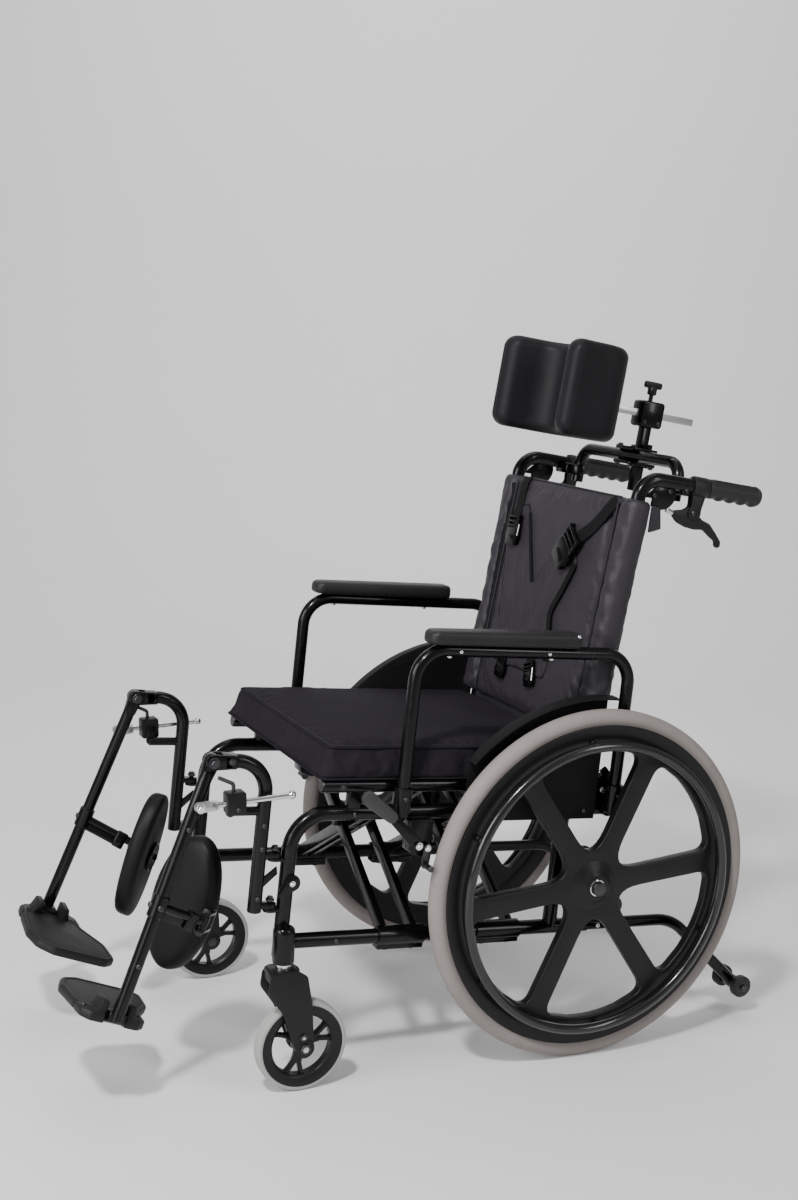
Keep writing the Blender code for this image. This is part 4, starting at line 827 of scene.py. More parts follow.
# %% [markdown]
# ## Casters
# Each caster swivels on a stem in the frame's housing. The fork is a moulding with two cheeks
# and a crown; its wheel has three forked spokes and a thin solid tyre. The casters stand upright
# in the world, so their shapes are brought into the leaning frame by one matrix.

# %% Caster wheels
UPRIGHT = TILT.inverted() @ LEVEL
CASTER_X = 0.239
CASTER_R = 0.0765
STEM_Y = -0.540
CASTER_Y = STEM_Y + 0.034
FORK_TOP = 0.2105
spin = UPRIGHT @ along_x(CASTER_Y, CASTER_R, CASTER_X)
side = [(0.0108, 0.0668), (0.0126, 0.0684), (0.0132, 0.0704), (0.0131, 0.0728), (0.0122, 0.0747),
        (0.0100, 0.0759), (0.0055, 0.0763)]
caster_tyre = Shell().turned(two_sided(side, (0.0, CASTER_R)), spin, 96, loop=True)
both(caster_tyre, "caster_tyre", CASTER, "caster_wheel", "caster", "caster_tyre")

small = Shell()
bed = [(0.0112, 0.0672), (0.0124, 0.0688), (0.0134, 0.0684), (0.0130, 0.0620), (0.0114, 0.0560),
       (0.0100, 0.0530), (0.0070, 0.0508)]
small.turned(two_sided(bed), spin, 96, loop=True)
boss = [(0.0165, 0.0085), (0.0160, 0.0105), (0.0060, 0.0148)]
small.turned(two_sided(boss), spin, 40)
FORKED = ((0.010, 0.0020, 0.0062), (0.022, 0.0028, 0.0048), (0.031, 0.0046, 0.0038),
          (0.043, 0.0104, 0.0036), (0.0535, 0.0166, 0.0056))
FORK_TURN = math.radians(18)
spoke = Shell()
for leaning in (-1, 1):
    outline = [(out, leaning * shift - half_wide) for out, shift, half_wide in FORKED]
    outline += [(out, leaning * shift + half_wide) for out, shift, half_wide in reversed(FORKED)]
    spoke.plate(outline, -0.0058, 0.0058, "X", 0.0016)
repeat(small, spoke, 3, spin @ Matrix.Rotation(FORK_TURN, 4, "X"))
both(small, "caster_wheel", NYLON, "caster_wheel", "nylon", "caster_wheel")
print("caster wheels", round(2 * CASTER_R * 1000), "mm across")

# %% Caster forks
fork = Shell()
cheek = [(STEM_Y - 0.018, FORK_TOP, 0.006), (STEM_Y + 0.018, FORK_TOP, 0.008),
         (STEM_Y + 0.036, FORK_TOP - 0.012, 0.012), (STEM_Y + 0.045, FORK_TOP - 0.060, 0.030),
         (CASTER_Y + 0.0165, CASTER_R, 0.012), (CASTER_Y + 0.006, CASTER_R - 0.0175, 0.010),
         (CASTER_Y - 0.010, CASTER_R - 0.0165, 0.010), (CASTER_Y - 0.0180, CASTER_R + 0.004, 0.014),
         (STEM_Y - 0.006, FORK_TOP - 0.070, 0.024), (STEM_Y - 0.031, FORK_TOP - 0.034, 0.018),
         (STEM_Y - 0.028, FORK_TOP - 0.010, 0.008)]
fork.cheeks(eased(cheek, 7), CASTER_X, 0.0174, 0.0220, 0.0018, UPRIGHT)
crown = [(STEM_Y - 0.026, FORK_TOP, 0.007), (STEM_Y + 0.020, FORK_TOP, 0.010),
         (STEM_Y + 0.038, FORK_TOP - 0.022, 0.010), (STEM_Y - 0.026, FORK_TOP - 0.022, 0.005)]
fork.plate(eased(crown, 6), CASTER_X - 0.0212, CASTER_X + 0.0212, "X", 0.004, UPRIGHT)
fork.rod((CASTER_X, STEM_Y, FORK_TOP - 0.004), (CASTER_X, STEM_Y, 0.262), 0.008, place=UPRIGHT)
for sign in (-1, 1):
    cup_place = spin @ along_x(0, 0, sign * 0.0205) @ Matrix.Diagonal((sign, 1, 1, 1))
    fork.turned([(0.0, 0.0150), (0.0016, 0.0165), (0.0024, 0.0150)], cup_place, 32)
both(fork, "caster_fork", NYLON, "caster_fork", "nylon", "caster_fork")
print("caster forks")

# %% Caster bearings and bolts
bearing = Shell().rod((CASTER_X, STEM_Y, FORK_TOP - 0.001), (CASTER_X, STEM_Y, 0.2186), 0.0128, 32,
                      place=UPRIGHT)
both(bearing, "caster_bearing", CHROME, "caster_fork", "chrome")
rivet = spin @ along_x(-0.003, 0.019)
bolts = Shell().turned([(0.0215, 0.0090), (0.0262, 0.0090), (0.0270, 0.0080)], spin, 6)
bolts.turned([(-0.0255, 0.0080), (-0.0250, 0.0090), (-0.0215, 0.0090)], spin, 6)
bolts.rod((-0.024, 0, 0), (0.024, 0, 0), 0.0045, place=spin)
bolts.turned([(0.0212, 0.0062), (0.0240, 0.0062), (0.0248, 0.0050)], rivet, 20)
both(bolts, "caster_bolts", STEEL, "caster_fork", "chrome")
faces = Shell().turned([(0.0262, 0.0048), (0.0274, 0.0048), (0.0279, 0.0040)], spin, 24)
faces.turned([(0.0240, 0.0026), (0.0252, 0.0026), (0.0256, 0.0020)], rivet, 20)
both(faces, "caster_bolt_faces", SATIN, "caster_fork", "chrome")
print("caster bolts")

# %% [markdown]
# ## Side frames
# Each side is a bent tube from the rear end, along under the arm and down the front, with a
# lower rail and a rear upright welded in. Brackets carry the axle, the armrest, the brake, the
# legrest and the recline hinge. The two cross braces fold between the sides.

# %% Side frames
TUBE_R = 0.0125
LOW_Z = -0.096
HIGH_Z = 0.116
FRONT_Y = -0.533
REAR_Y = -0.034
RAIL_Z = 0.161
HINGE_Y = 0.004
HINGE_Z = 0.150
HANGER_Y = -0.583
SWING_Y = -0.558
PIN_LEVELS = (0.046, -0.038)
BRAKE_X = 0.2623
BRAKE_PIVOT = (-0.328, 0.072)
SHOE_PIVOT = (-0.312, 0.068)
ARM_X = 0.246
ARM_FRONT_Y = -0.357
ARM_REAR_Y = 0.046
SEAT_STOPS = (-0.430, -0.215, -0.075)
side_frame = Shell()
front = [(SIDE_X, 0.062, HIGH_Z), (SIDE_X, FRONT_Y, HIGH_Z), (SIDE_X, FRONT_Y, LOW_Z - 0.024)]
side_frame.tube(front, TUBE_R, 0.060, 24, 14)
side_frame.rod((SIDE_X, FRONT_Y, LOW_Z), (SIDE_X, 0.040, LOW_Z), TUBE_R, 24)
side_frame.rod((SIDE_X, REAR_Y, LOW_Z), (SIDE_X, REAR_Y, HIGH_Z), TUBE_R, 24)
housing = [(0.219, 0.0150), (0.2198, 0.0172), (0.222, 0.0180), (0.270, 0.0180), (0.2755, 0.0172),
           (0.278, 0.0150), (0.278, 0.0120)]
side_frame.turned(housing, UPRIGHT @ standing((CASTER_X, STEM_Y, 0)), 40)
plate_in = SIDE_X + TUBE_R - 0.0015
side_frame.plate(rounded(-0.012, 0, 0.036, 0.052, 0.014, 8), plate_in, plate_in + 0.0065, "X", 0.0012)
side_frame.rod((SIDE_X, 0, 0), (0.2435, 0, 0), 0.017, 32)
for y in (ARM_FRONT_Y, ARM_REAR_Y):
    side_frame.rod((ARM_X, y, 0.116), (ARM_X, y, 0.165), 0.0155, 28, 0.0015)
    side_frame.block((SIDE_X, y - 0.010, HIGH_Z - 0.009), (ARM_X, y + 0.010, HIGH_Z + 0.010), 0.002)
for y in SEAT_STOPS:
    side_frame.block((SIDE_X - 0.0085, y - 0.012, HIGH_Z), (SIDE_X + 0.0085, y + 0.012, RAIL_Z - 0.0045),
                     0.0025)
wing = [(-0.345, HIGH_Z - 0.002, 0.003), (-0.303, HIGH_Z - 0.002, 0.003), (-0.303, 0.056, 0.006),
        (-0.314, 0.050, 0.006), (-0.340, 0.058, 0.008)]
side_frame.plate(eased(wing), SIDE_X + TUBE_R - 0.003, BRAKE_X - 0.0004, "X", 0.0012)
for spot in (BRAKE_PIVOT, SHOE_PIVOT):
    side_frame.rod((BRAKE_X - 0.004, *spot), (BRAKE_X + 0.0075, *spot), 0.0035)
for y in (-0.205, -0.010):
    side_frame.rod((SIDE_X, y, HIGH_Z), (0.2422, y, HIGH_Z), 0.008)
ear_in = POST_X + 0.0129
ear = [(-0.024, HIGH_Z), (-0.016, HINGE_Z + 0.004)] + arc(HINGE_Y, HINGE_Z, 0.018, 150, 80, 10)
ear += arc(HINGE_Y, HINGE_Z, 0.052, 52, -30, 16) + [(0.046, HIGH_Z)]
side_frame.plate(ear, ear_in, ear_in + 0.006, "X", 0.001)
side_frame.rod((0.1931, HINGE_Y, HINGE_Z), (ear_in + 0.003, HINGE_Y, HINGE_Z), 0.006)
side_frame.turned(bush(0.1911, 0.1971, 0.0100, 0.0005), along_x(HINGE_Y, HINGE_Z), 6)
for z in PIN_LEVELS:
    side_frame.plate(link((SIDE_X, FRONT_Y), (SIDE_X, SWING_Y), 0.009, 0.0105), z - 0.006, z, "Z", 0.0010)
    side_frame.rod((SIDE_X, SWING_Y, z - 0.003), (SIDE_X, SWING_Y, z + 0.014), 0.0040)
lever = link((FRONT_Y + 0.004, 0.006), (FRONT_Y - 0.012, -0.012), 0.014, 0.006, 14)
side_frame.plate(lever, SIDE_X + TUBE_R - 0.002, SIDE_X + TUBE_R + 0.006, "X", 0.002)
both(side_frame, "side_frame", PAINT, "frame", "paint", "side_frame")
print("side frames", len(side_frame.faces), "faces each")

# %% Cross braces
FOLD_MID_Z = (LOW_Z + RAIL_Z) / 2
BRACE_Y = (-0.322, -0.140)


def brace(offset, pin):
    """One seat rail with two pairs of arms and its sleeves on the other side's lower rail."""
    shell = Shell()
    shell.rod((-SIDE_X, -0.490, RAIL_Z), (-SIDE_X, -0.036, RAIL_Z), 0.0115, 24, 0.002)
    across = Vector((-2 * SIDE_X, 0, RAIL_Z - LOW_Z)).normalized()
    lift = Vector((0, 1, 0)).cross(across) * 0.011
    start = Vector((SIDE_X, 0, LOW_Z)) + across * 0.010
    stop = Vector((-SIDE_X, 0, RAIL_Z))
    outline = [(p.x, p.z) for p in (start - lift, stop - lift, stop + lift, start + lift)]
    for y in BRACE_Y:
        shell.turned(bush(-0.0420, 0.0420, 0.0165, 0.0008, 0.0015), lying((SIDE_X, y, LOW_Z)), 32)
        foot_low = (SIDE_X - 0.016, y - 0.042, LOW_Z - 0.021)
        shell.block(foot_low, (SIDE_X + 0.010, y + 0.042, LOW_Z - 0.006), 0.002)
        for middle in (y - offset, y + offset):
            shell.plate(outline, middle - 0.006, middle + 0.006, "Y", 0.0018)
        reach, radius = (0.038, 0.006) if pin else (offset, 0.0125)
        shell.rod((0, y - reach, FOLD_MID_Z), (0, y + reach, FOLD_MID_Z), radius)
    return shell


odd_pair(brace(0.028, True), brace(0.011, False), "cross_brace", "brace")
print("cross braces at", BRACE_Y)

# %% Anti-tip tubes and wheels
ANTI_END = (0.3765, -0.2233)
anti = Shell()
anti.tube([(SIDE_X, -0.020, LOW_Z), (SIDE_X, 0.222, LOW_Z), (SIDE_X, *ANTI_END)], 0.0105, 0.09, 24, 12)
anti.rod((SIDE_X - 0.018, *ANTI_END), (SIDE_X + 0.018, *ANTI_END), 0.0125, 28)
both(anti, "anti_tip_tube", PAINT, "anti_tip", "paint", "anti_tip_tube")
half = [(0.0364, 0.0070), (0.0364, 0.0140), (0.0350, 0.0180), (0.0325, 0.0200), (0.0225, 0.0200),
        (0.0195, 0.0180), (0.0184, 0.0140), (0.0184, 0.005)]
runner = Shell().turned(two_sided(half)[::-1], along_x(*ANTI_END, SIDE_X), 48)
both(runner, "anti_tip_wheel", GRIP, "anti_tip_wheel", "rubber", "anti_tip_wheel")
print("anti-tip tubes end at", ANTI_END)

# %% Brakes
BRAKE_KNEE = (-0.381, 0.121)
BRAKE_TIP = (-0.424, 0.152)
SHOE_TIP = (-math.sqrt(WHEEL_R ** 2 - 0.040 ** 2) - 0.0115, 0.040)
lever = Shell()
lever.plate(link(BRAKE_PIVOT, BRAKE_KNEE, 0.010, 0.008), BRAKE_X, BRAKE_X + 0.0035, "X", 0.0008)
both(lever, "brake_lever", PAINT, "brake_lever", "paint", "brake_lever")
handle = Shell()
handle.plate(link(BRAKE_KNEE, BRAKE_TIP, 0.0105, 0.0125, 14), BRAKE_X - 0.0045, BRAKE_X + 0.0085, "X",
             0.0045)
both(handle, "brake_handle", GREY, "brake_lever", "rubber")
shoe = Shell()
near = BRAKE_X + 0.0040
shoe.plate(link(SHOE_PIVOT, SHOE_TIP, 0.0075, 0.0065), near, near + 0.003, "X", 0.0006)
shoe.rod((near + 0.001, *SHOE_TIP), (WHEEL_X + 0.012, *SHOE_TIP), 0.005, 24)
both(shoe, "brake_shoe", STEEL, "brake_shoe", "chrome", "brake_shoe")
print("brakes")

# %% [markdown]
# ## Armrests, skirt guards and back posts
# The armrest is one bent tube that lifts out of two sockets. The guard is a sheet with a lip
# over the tyre. Each back post turns over into a push handle, with a gusset in the crook, a
# collar for the recline lever and a clamp for the headrest bar.

# %% Armrest tubes
ARM_Z = 0.392
ARM_FOOT = 0.1205
arm_corners = ((ARM_FRONT_Y, ARM_FOOT), (ARM_FRONT_Y, ARM_Z), (ARM_REAR_Y, ARM_Z), (ARM_REAR_Y, ARM_FOOT))
arm = Shell().tube([(ARM_X, y, z) for y, z in arm_corners], 0.011, 0.052, 24, 14)
both(arm, "armrest_tube", PAINT, "armrest", "paint", "armrest_tube")
print("armrest tubes")

# %% Skirt guards
GUARD_X = 0.2425
GUARD_R = 0.3195
LIP = ((0.0005, -0.002), (0.018, -0.002), (0.0245, -0.0026), (0.026, -0.0015), (0.0255, 0.0),
       (0.018, 0.002), (0.0015, 0.002))
guard = Shell()
edge = arc(0, 0, GUARD_R, 87, 139, 40)
panel = [(0.012, 0.104), (0.012, edge[0][1])] + edge + [(edge[-1][0], 0.104)]
guard.plate(panel, GUARD_X, GUARD_X + 0.003, "X", 0.0008)
lip = []
for k in range(41):
    turn = math.radians(86.5 + 53 * k / 40)
    ring = []
    for along, out in LIP:
        radius = GUARD_R + out
        ring.append((GUARD_X + along, radius * math.cos(turn), radius * math.sin(turn)))
    lip.append(ring)
guard.skin(lip)
both(guard, "skirt_guard", MATTE, "frame", "nylon", "skirt_guard")
print("skirt guards")

# %% Back posts
POST_LONG = 0.544
HANDLE_LONG = 0.244
GRIP_LONG = 0.109
GRIP_R = 0.0172
COLLAR_START = 0.103
COLLAR_END = 0.1345
BACK_LOW = 0.080
BACK_HIGH = 0.505
BOLSTER_R = 0.0245
TRIGGER_B = 0.113
TRIGGER_U = 0.498
BAR_HALF = 0.165
BAR_R = 0.011
BAR_B = 0.105
BAR_U = 0.5785
RING_U = 0.5345


def back_post(left):
    """A post with its handle, gusset and a ring or, on the other side, an open cup for the bar."""
    shell = Shell()
    line = [(POST_X, 0, -0.018), (POST_X, 0, POST_LONG), (POST_X, HANDLE_LONG - 0.012, POST_LONG)]
    shell.tube(line, 0.0125, 0.038, 24, 14)
    shell.turned(bush(-0.0125, 0.0125, 0.0150, 0.0007), along_x(0, 0, POST_X), 32)
    web = [(0.012, BACK_HIGH + 0.006), (0.0285, BACK_HIGH + 0.006), (0.0285, POST_LONG - 0.046)]
    web += arc(0.046, POST_LONG - 0.022, 0.028, -100, 30, 16) + [(0.040, POST_LONG - 0.004)]
    shell.plate(web, POST_X - 0.003, POST_X + 0.003, "X", 0.001)
    low = RING_U - 0.010
    high = RING_U + 0.010
    shell.block((BAR_HALF + 0.010, BAR_B - 0.022, low), (POST_X, BAR_B - 0.008, high), 0.0025)
    shell.block((POST_X - 0.008, BAR_B - 0.022, low), (POST_X + 0.008, BAR_B - 0.008, POST_LONG), 0.0025)
    if left:
        shell.turned(bush(low, high, BAR_R + 0.0065), standing((BAR_HALF, BAR_B, 0)), 36)
    else:
        shell.plate(arc(BAR_HALF, BAR_B, BAR_R + 0.0065, 180, 360, 24), low, high, "Z", 0.001)
    return shell


odd_pair(back_post(True), back_post(False), "back_post", "back", POST)
print("back posts", round(POST_LONG * 1000), "mm long")

# %% Recline triggers
collar = Shell()
band = [(COLLAR_START, 0.0145), (COLLAR_START + 0.0010, 0.0166), (COLLAR_START + 0.0035, 0.0176),
        (COLLAR_END - 0.0035, 0.0176), (COLLAR_END - 0.0010, 0.0166), (COLLAR_END, 0.0145)]
collar.turned(band, lying((POST_X, 0, POST_LONG)), 40)
neck = [(-0.0090, 0.036, 0.002), (0.0195, 0.036, 0.002), (0.0175, 0.022, 0.010), (0.0150, 0.008, 0.014),
        (0.0160, -0.004, 0.008), (0.0080, -0.0105, 0.006), (-0.0080, -0.0105, 0.006),
        (-0.0105, 0.004, 0.006), (-0.0060, 0.012, 0.012)]
blade = [(-0.038, -0.0010, 0.003), (-0.019, 0.0030, 0.012), (-0.0105, 0.0088, 0.006),
         (0.0140, 0.0100, 0.004), (0.0165, -0.0035, 0.010), (0.0250, -0.0092, 0.012),
         (0.0416, -0.0135, 0.016), (0.0575, -0.0275, 0.030), (0.0714, -0.0412, 0.008),
         (0.0722, -0.0500, 0.005), (0.0670, -0.0536, 0.004), (0.0615, -0.0515, 0.004),
         (0.0588, -0.0425, 0.006), (0.0471, -0.0363, 0.030), (0.0295, -0.0258, 0.016),
         (0.0112, -0.0282, 0.030), (-0.0068, -0.0265, 0.030), (-0.0273, -0.0205, 0.020),
         (-0.038, -0.0110, 0.003)]


def at_trigger(corners):
    """Corners about the trigger's pivot, rounded and in the post's frame."""
    return eased([(TRIGGER_B + b, TRIGGER_U + u, r) for b, u, r in corners], 6)


collar.cheeks(at_trigger(neck), POST_X, 0.0046, 0.0080, 0.0014)
both(collar, "trigger_collar", LEVER, "back", "rubber", None, POST)
trigger = Shell().plate(at_trigger(blade), POST_X - 0.0042, POST_X + 0.0042, "X", 0.0022)
both(trigger, "recline_trigger", LEVER, "trigger", "rubber", "recline_trigger", POST)
ferrule = Shell().rod((POST_X, 0.060, 0.4965), (POST_X, 0.0745, 0.4925), 0.0044, 20)
both(ferrule, "cable_ferrule", CHROME, "back", "chrome", None, POST)
print("recline triggers")

# %% [markdown]
# ## Push grips
# A rubber grip is moulded in one piece: smooth rings at both ends, four finger bumps below, and
# a knurled top. The rings follow the bumps, and the knurls are heads set on points over the top.

# %% Grips
grip = Shell()
rings = []
mouth = HANDLE_LONG - GRIP_LONG


def grip_radius(share, turn):
    """Four finger bumps below, and a ring at either end."""
    wave = 0.5 - 0.5 * math.cos(2 * math.pi * (share - 0.14) / 0.22)
    low = max(0.0, -math.sin(turn)) ** 1.5
    radius = GRIP_R * (0.985 + low * (0.205 * wave - 0.085) * (0.10 < share < 0.95))
    if share < 0.05:
        radius = GRIP_R * (0.95 + share)
    if share > 0.94:
        radius = GRIP_R * (1.06 - 3.0 * (share - 0.94) ** 1.1)
    return radius


def on_grip(share, turn):
    """The point of the grip's skin at this share of its length and this angle."""
    radius = grip_radius(share, turn)
    along = mouth + GRIP_LONG * share
    return (POST_X + radius * math.cos(turn), along, POST_LONG + radius * math.sin(turn))


for i in range(71):
    rings.append([on_grip(i / 70, turn) for turn in turns(40)])
grip.skin(rings)
both(grip, "push_grip", GRIP, "back", "rubber", "push_grip", POST, 50)
print("push grips", round(GRIP_LONG * 1000), "mm long")

# %% [markdown]
# ## Headrest hardware
# A bent bar drops into two rings behind the posts. Two plates clamp a square stem to it, and
# the block on the stem holds a flat slide by a T-knob, so the pad can move up and forward.

# %% Headrest hardware
STEM_B = 0.1262
STEM_TOP = 0.658
BAR_FOOT = 0.5125


def headrest_piece(shell, name, look, body, slot):
    """One piece for one solid of the headrest."""
    carry(shell.thing(name + "_skin", look, POST), body, slot, name)


bar = Shell()
bar_line = [(BAR_HALF, BAR_B, BAR_FOOT), (BAR_HALF, BAR_B, BAR_U), (-BAR_HALF, BAR_B, BAR_U),
            (-BAR_HALF, BAR_B, BAR_FOOT)]
bar.tube(bar_line, BAR_R, 0.034, 24, 14)
for level in (BAR_U - 0.0132, BAR_U + 0.0132):
    clamp_plate = rounded(0, BAR_B + 0.012, 0.030, 0.030, 0.008, 8)
    bar.plate(clamp_plate, level - 0.0032, level + 0.0032, "Z", 0.0012)
bar.rod((0.024, STEM_B, 0.5595), (0.024, STEM_B, 0.5975), 0.0045)
nut = [(0.5935, 0.0068), (0.5945, 0.0075), (0.6025, 0.0075), (0.6035, 0.0062)]
bar.turned(nut, standing((0.024, STEM_B, 0)), 6)
headrest_piece(bar, "headrest_bar", PAINT, "headrest_bar", "paint")
stem = Shell()
stem.block((-0.009, STEM_B - 0.009, 0.5155), (0.009, STEM_B + 0.009, STEM_TOP), 0.0012)
stem.plate(rounded(STEM_B, STEM_TOP, 0.024, 0.024, 0.006, 8), -0.017, 0.017, "X", 0.0025)
headrest_piece(stem, "headrest_stem", PAINT, "headrest_stem", "paint")
slide = Shell()
slide.block((-0.0065, 0.0043, STEM_TOP - 0.0065), (0.0065, STEM_B + 0.098, STEM_TOP + 0.0065), 0.0010)
slide.plate(rounded(0, STEM_TOP, 0.050, 0.030, 0.010, 8), 0.0023, 0.0073, "Y", 0.001)
headrest_piece(slide, "headrest_slide", SATIN, "headrest", "satin")
knob = Shell()
top = STEM_TOP + 0.060
shank = [(STEM_TOP + 0.0125, 0.0040), (top - 0.025, 0.0040), (top - 0.024, 0.0078), (top - 0.022, 0.0086),
         (top - 0.012, 0.0086), (top - 0.009, 0.0070)]
knob.turned(shank, standing((0, STEM_B, 0)), 32)
wings = link((0, STEM_B - 0.0125), (0, STEM_B + 0.0125), 0.0065, 0.0065, 14)
knob.plate(wings, top - 0.0125, top, "Z", 0.0035)
headrest_piece(knob, "headrest_knob", NYLON, "headrest_knob", "nylon")
print("headrest hardware")

# %% [markdown]
# ## Legrests
# The hanger swings off the front tube on two pins. At its top a yoke holds the leg tube, which
# a chrome rod keeps at an angle: the rod slides through a clamp block with a small bent lever.
# The footplate folds up about a pin at the foot of the tube.

# %% Hangers
ROD_ARM = 0.070
ROD_R = 0.0045
ROD_X = SIDE_X + 0.024
CLAMP_ANGLE = math.radians(31.0)
CLAMP_Y = PIVOT_Y + ROD_ARM * math.sin(CLAMP_ANGLE)
CLAMP_Z = PIVOT_Z - ROD_ARM * math.cos(CLAMP_ANGLE)
EYE_Y = PIVOT_Y - ROD_ARM * math.sin(LEG_LEAN)
EYE_Z = PIVOT_Z - ROD_ARM * math.cos(LEG_LEAN)
ROD_DIR = Vector((0, CLAMP_Y - EYE_Y, CLAMP_Z - EYE_Z)).normalized()
hanger = Shell()
hanger_line = [(SIDE_X, HANGER_Y, -0.044), (SIDE_X, HANGER_Y, PIVOT_Z),
               (SIDE_X, PIVOT_Y + 0.028, PIVOT_Z)]
hanger.tube(hanger_line, 0.0115, 0.052, 24, 14)
yoke_low = (SIDE_X - 0.0125, PIVOT_Y + 0.016, PIVOT_Z - 0.0115)
hanger.block(yoke_low, (SIDE_X + 0.0125, PIVOT_Y + 0.040, PIVOT_Z + 0.0115), 0.003)
ears = link((PIVOT_Y, PIVOT_Z), (PIVOT_Y + 0.022, PIVOT_Z), 0.0125, 0.0115, 14)
hanger.cheeks(ears, SIDE_X, 0.0085, 0.0125, 0.0012)
hanger.rod((SIDE_X - 0.0155, PIVOT_Y, PIVOT_Z), (SIDE_X + 0.0155, PIVOT_Y, PIVOT_Z), 0.005)
swing_eye = link((SIDE_X, HANGER_Y), (SIDE_X, SWING_Y), 0.009, 0.0105)
for z in PIN_LEVELS:
    hanger.plate(swing_eye, z + 0.0003, z + 0.0085, "Z", 0.0012)
web = [(HANGER_Y, -0.014), (HANGER_Y, 0.004), (SWING_Y + 0.006, 0.030), (SWING_Y + 0.008, 0.018)]
hanger.plate(web, SIDE_X - 0.0025, SIDE_X + 0.0025, "X", 0.0008)
stub_z = CLAMP_Z - 0.021
hanger.rod((SIDE_X, HANGER_Y, stub_z), (SIDE_X, CLAMP_Y - 0.004, stub_z), 0.0075)
strut = link((CLAMP_Y, stub_z), (CLAMP_Y, CLAMP_Z), 0.0075, 0.0085)
hanger.plate(strut, SIDE_X + 0.001, SIDE_X + 0.0085, "X", 0.001)
hanger.rod((SIDE_X + 0.002, CLAMP_Y, CLAMP_Z), (SIDE_X + 0.0150, CLAMP_Y, CLAMP_Z), 0.0040)
both(hanger, "legrest_hanger", PAINT, "hanger", "paint", "legrest_hanger")
print("legrest hangers")

# %% Rods and clamps
slope = math.atan2(ROD_DIR.z, ROD_DIR.y)
clamp_place = Matrix.Translation((0, CLAMP_Y, CLAMP_Z)) @ Matrix.Rotation(slope, 4, "X")
clamp = Shell()
clamp.plate(rounded(0, 0, 0.0155, 0.0175, 0.004, 6), SIDE_X + 0.0089, ROD_X + 0.0095, "X", 0.0015,
            clamp_place)
both(clamp, "rod_clamp", NYLON, "leg_clamp", "nylon", "rod_clamp")
stalk_line = [(ROD_X - 0.002, y, z) for y, z in ((-0.002, 0.014), (-0.002, 0.030), (-0.026, 0.043))]
stalk = Shell().tube(stalk_line, 0.0032, 0.006, 16, 6, 0.0008, clamp_place)
both(stalk, "clamp_lever", STEEL, "leg_clamp", "chrome")

BALL_R = 0.0068
ROD_LONG = 0.150
rod_place = aimed((ROD_X, EYE_Y, EYE_Z), ROD_DIR)
rod_run = [(0.024, ROD_R), (0.030, ROD_R), (0.1435, ROD_R)]
rod_run += [(ROD_LONG - BALL_R * math.cos(t), BALL_R * math.sin(t)) for t in turns(24)[3:13]]
rod = Shell().turned(rod_run, rod_place, 32)
both(rod, "elevating_rod", CHROME, "leg_rod", "chrome", "elevating_rod")
clevis = Shell()
fork_side = link((0.0, 0.0), (0.020, 0.0), 0.0078, 0.0074, 12)
clevis.cheeks(fork_side, 0, 0.0028, 0.0060, 0.0008,
              rod_place @ Matrix.Rotation(math.radians(-90), 4, "Z"))
clevis.block((0.0165, -0.0060, -0.0072), (0.0285, 0.0060, 0.0072), 0.0014, rod_place)
both(clevis, "rod_clevis", SATIN, "leg_rod", "satin")
pin = Shell().rod((ROD_X - 0.0072, EYE_Y, EYE_Z), (ROD_X + 0.0066, EYE_Y, EYE_Z), 0.0042)
both(pin, "clevis_pin", STEEL, "leg_rod", "chrome")
print("elevating rods", round(ROD_LONG * 1000), "mm long")

# %% Leg tubes
LEG_LONG = 0.420
CALF_DOWN = 0.236
CALF_PIN = Vector((-0.034, 0.094, -0.248))
HINGE_X = -0.015
leg = Shell()
leg.rod((0, 0, -0.017), (0, 0, -LEG_LONG), 0.0105, 24)
calf_root = Vector((-0.002, 0, -CALF_DOWN))
leg.tube([calf_root, CALF_PIN], 0.0075, 0.01, 20, 1)
leg.turned(bush(-0.011, 0.011, 0.0095), standing(CALF_PIN), 28)
arm_run = CALF_PIN - calf_root
arm_place = aimed(calf_root, arm_run)
arm_end = arm_run.length - 0.016
leg.block((0.004, -0.0034, -0.0185), (arm_end, 0.0034, -0.0045), 0.0012, arm_place)
leg.block((arm_end - 0.020, -0.0085, -0.0200), (arm_end, 0.0085, 0.0095), 0.0020, arm_place)
leg.turned(bush(-0.018, 0.018, 0.0135, 0.0015, 0.002), standing((0, 0, -CALF_DOWN)), 28)
leg.turned(bush(-0.016, 0.016, 0.0095), lying((HINGE_X, 0, -LEG_LONG)), 28)
leg.block((HINGE_X, -0.014, -LEG_LONG - 0.004), (0.004, 0.014, -LEG_LONG + 0.012), 0.002)
unsplay = Matrix.Rotation(math.radians(3.7), 4, "Y")
leg.plate(link((0, 0), (0, -0.026), 0.0125, 0.0095, 14), -0.0081, 0.0081, "X", 0.0012, unsplay)
leg.rod((0, 0, -ROD_ARM), (0.0325, 0, -ROD_ARM), 0.0040, place=unsplay)
both(leg, "leg_tube", PAINT, "leg", "paint", "leg_tube", LEG)
print("leg tubes", round(LEG_LONG * 1000), "mm long")

# %% [markdown]
# ## Footplates
# A moulded plate with a grained tread inside a smooth raised border. Two lugs stand either side
# of the leg tube and hold the fold pin. Ribs under the plate keep it stiff.

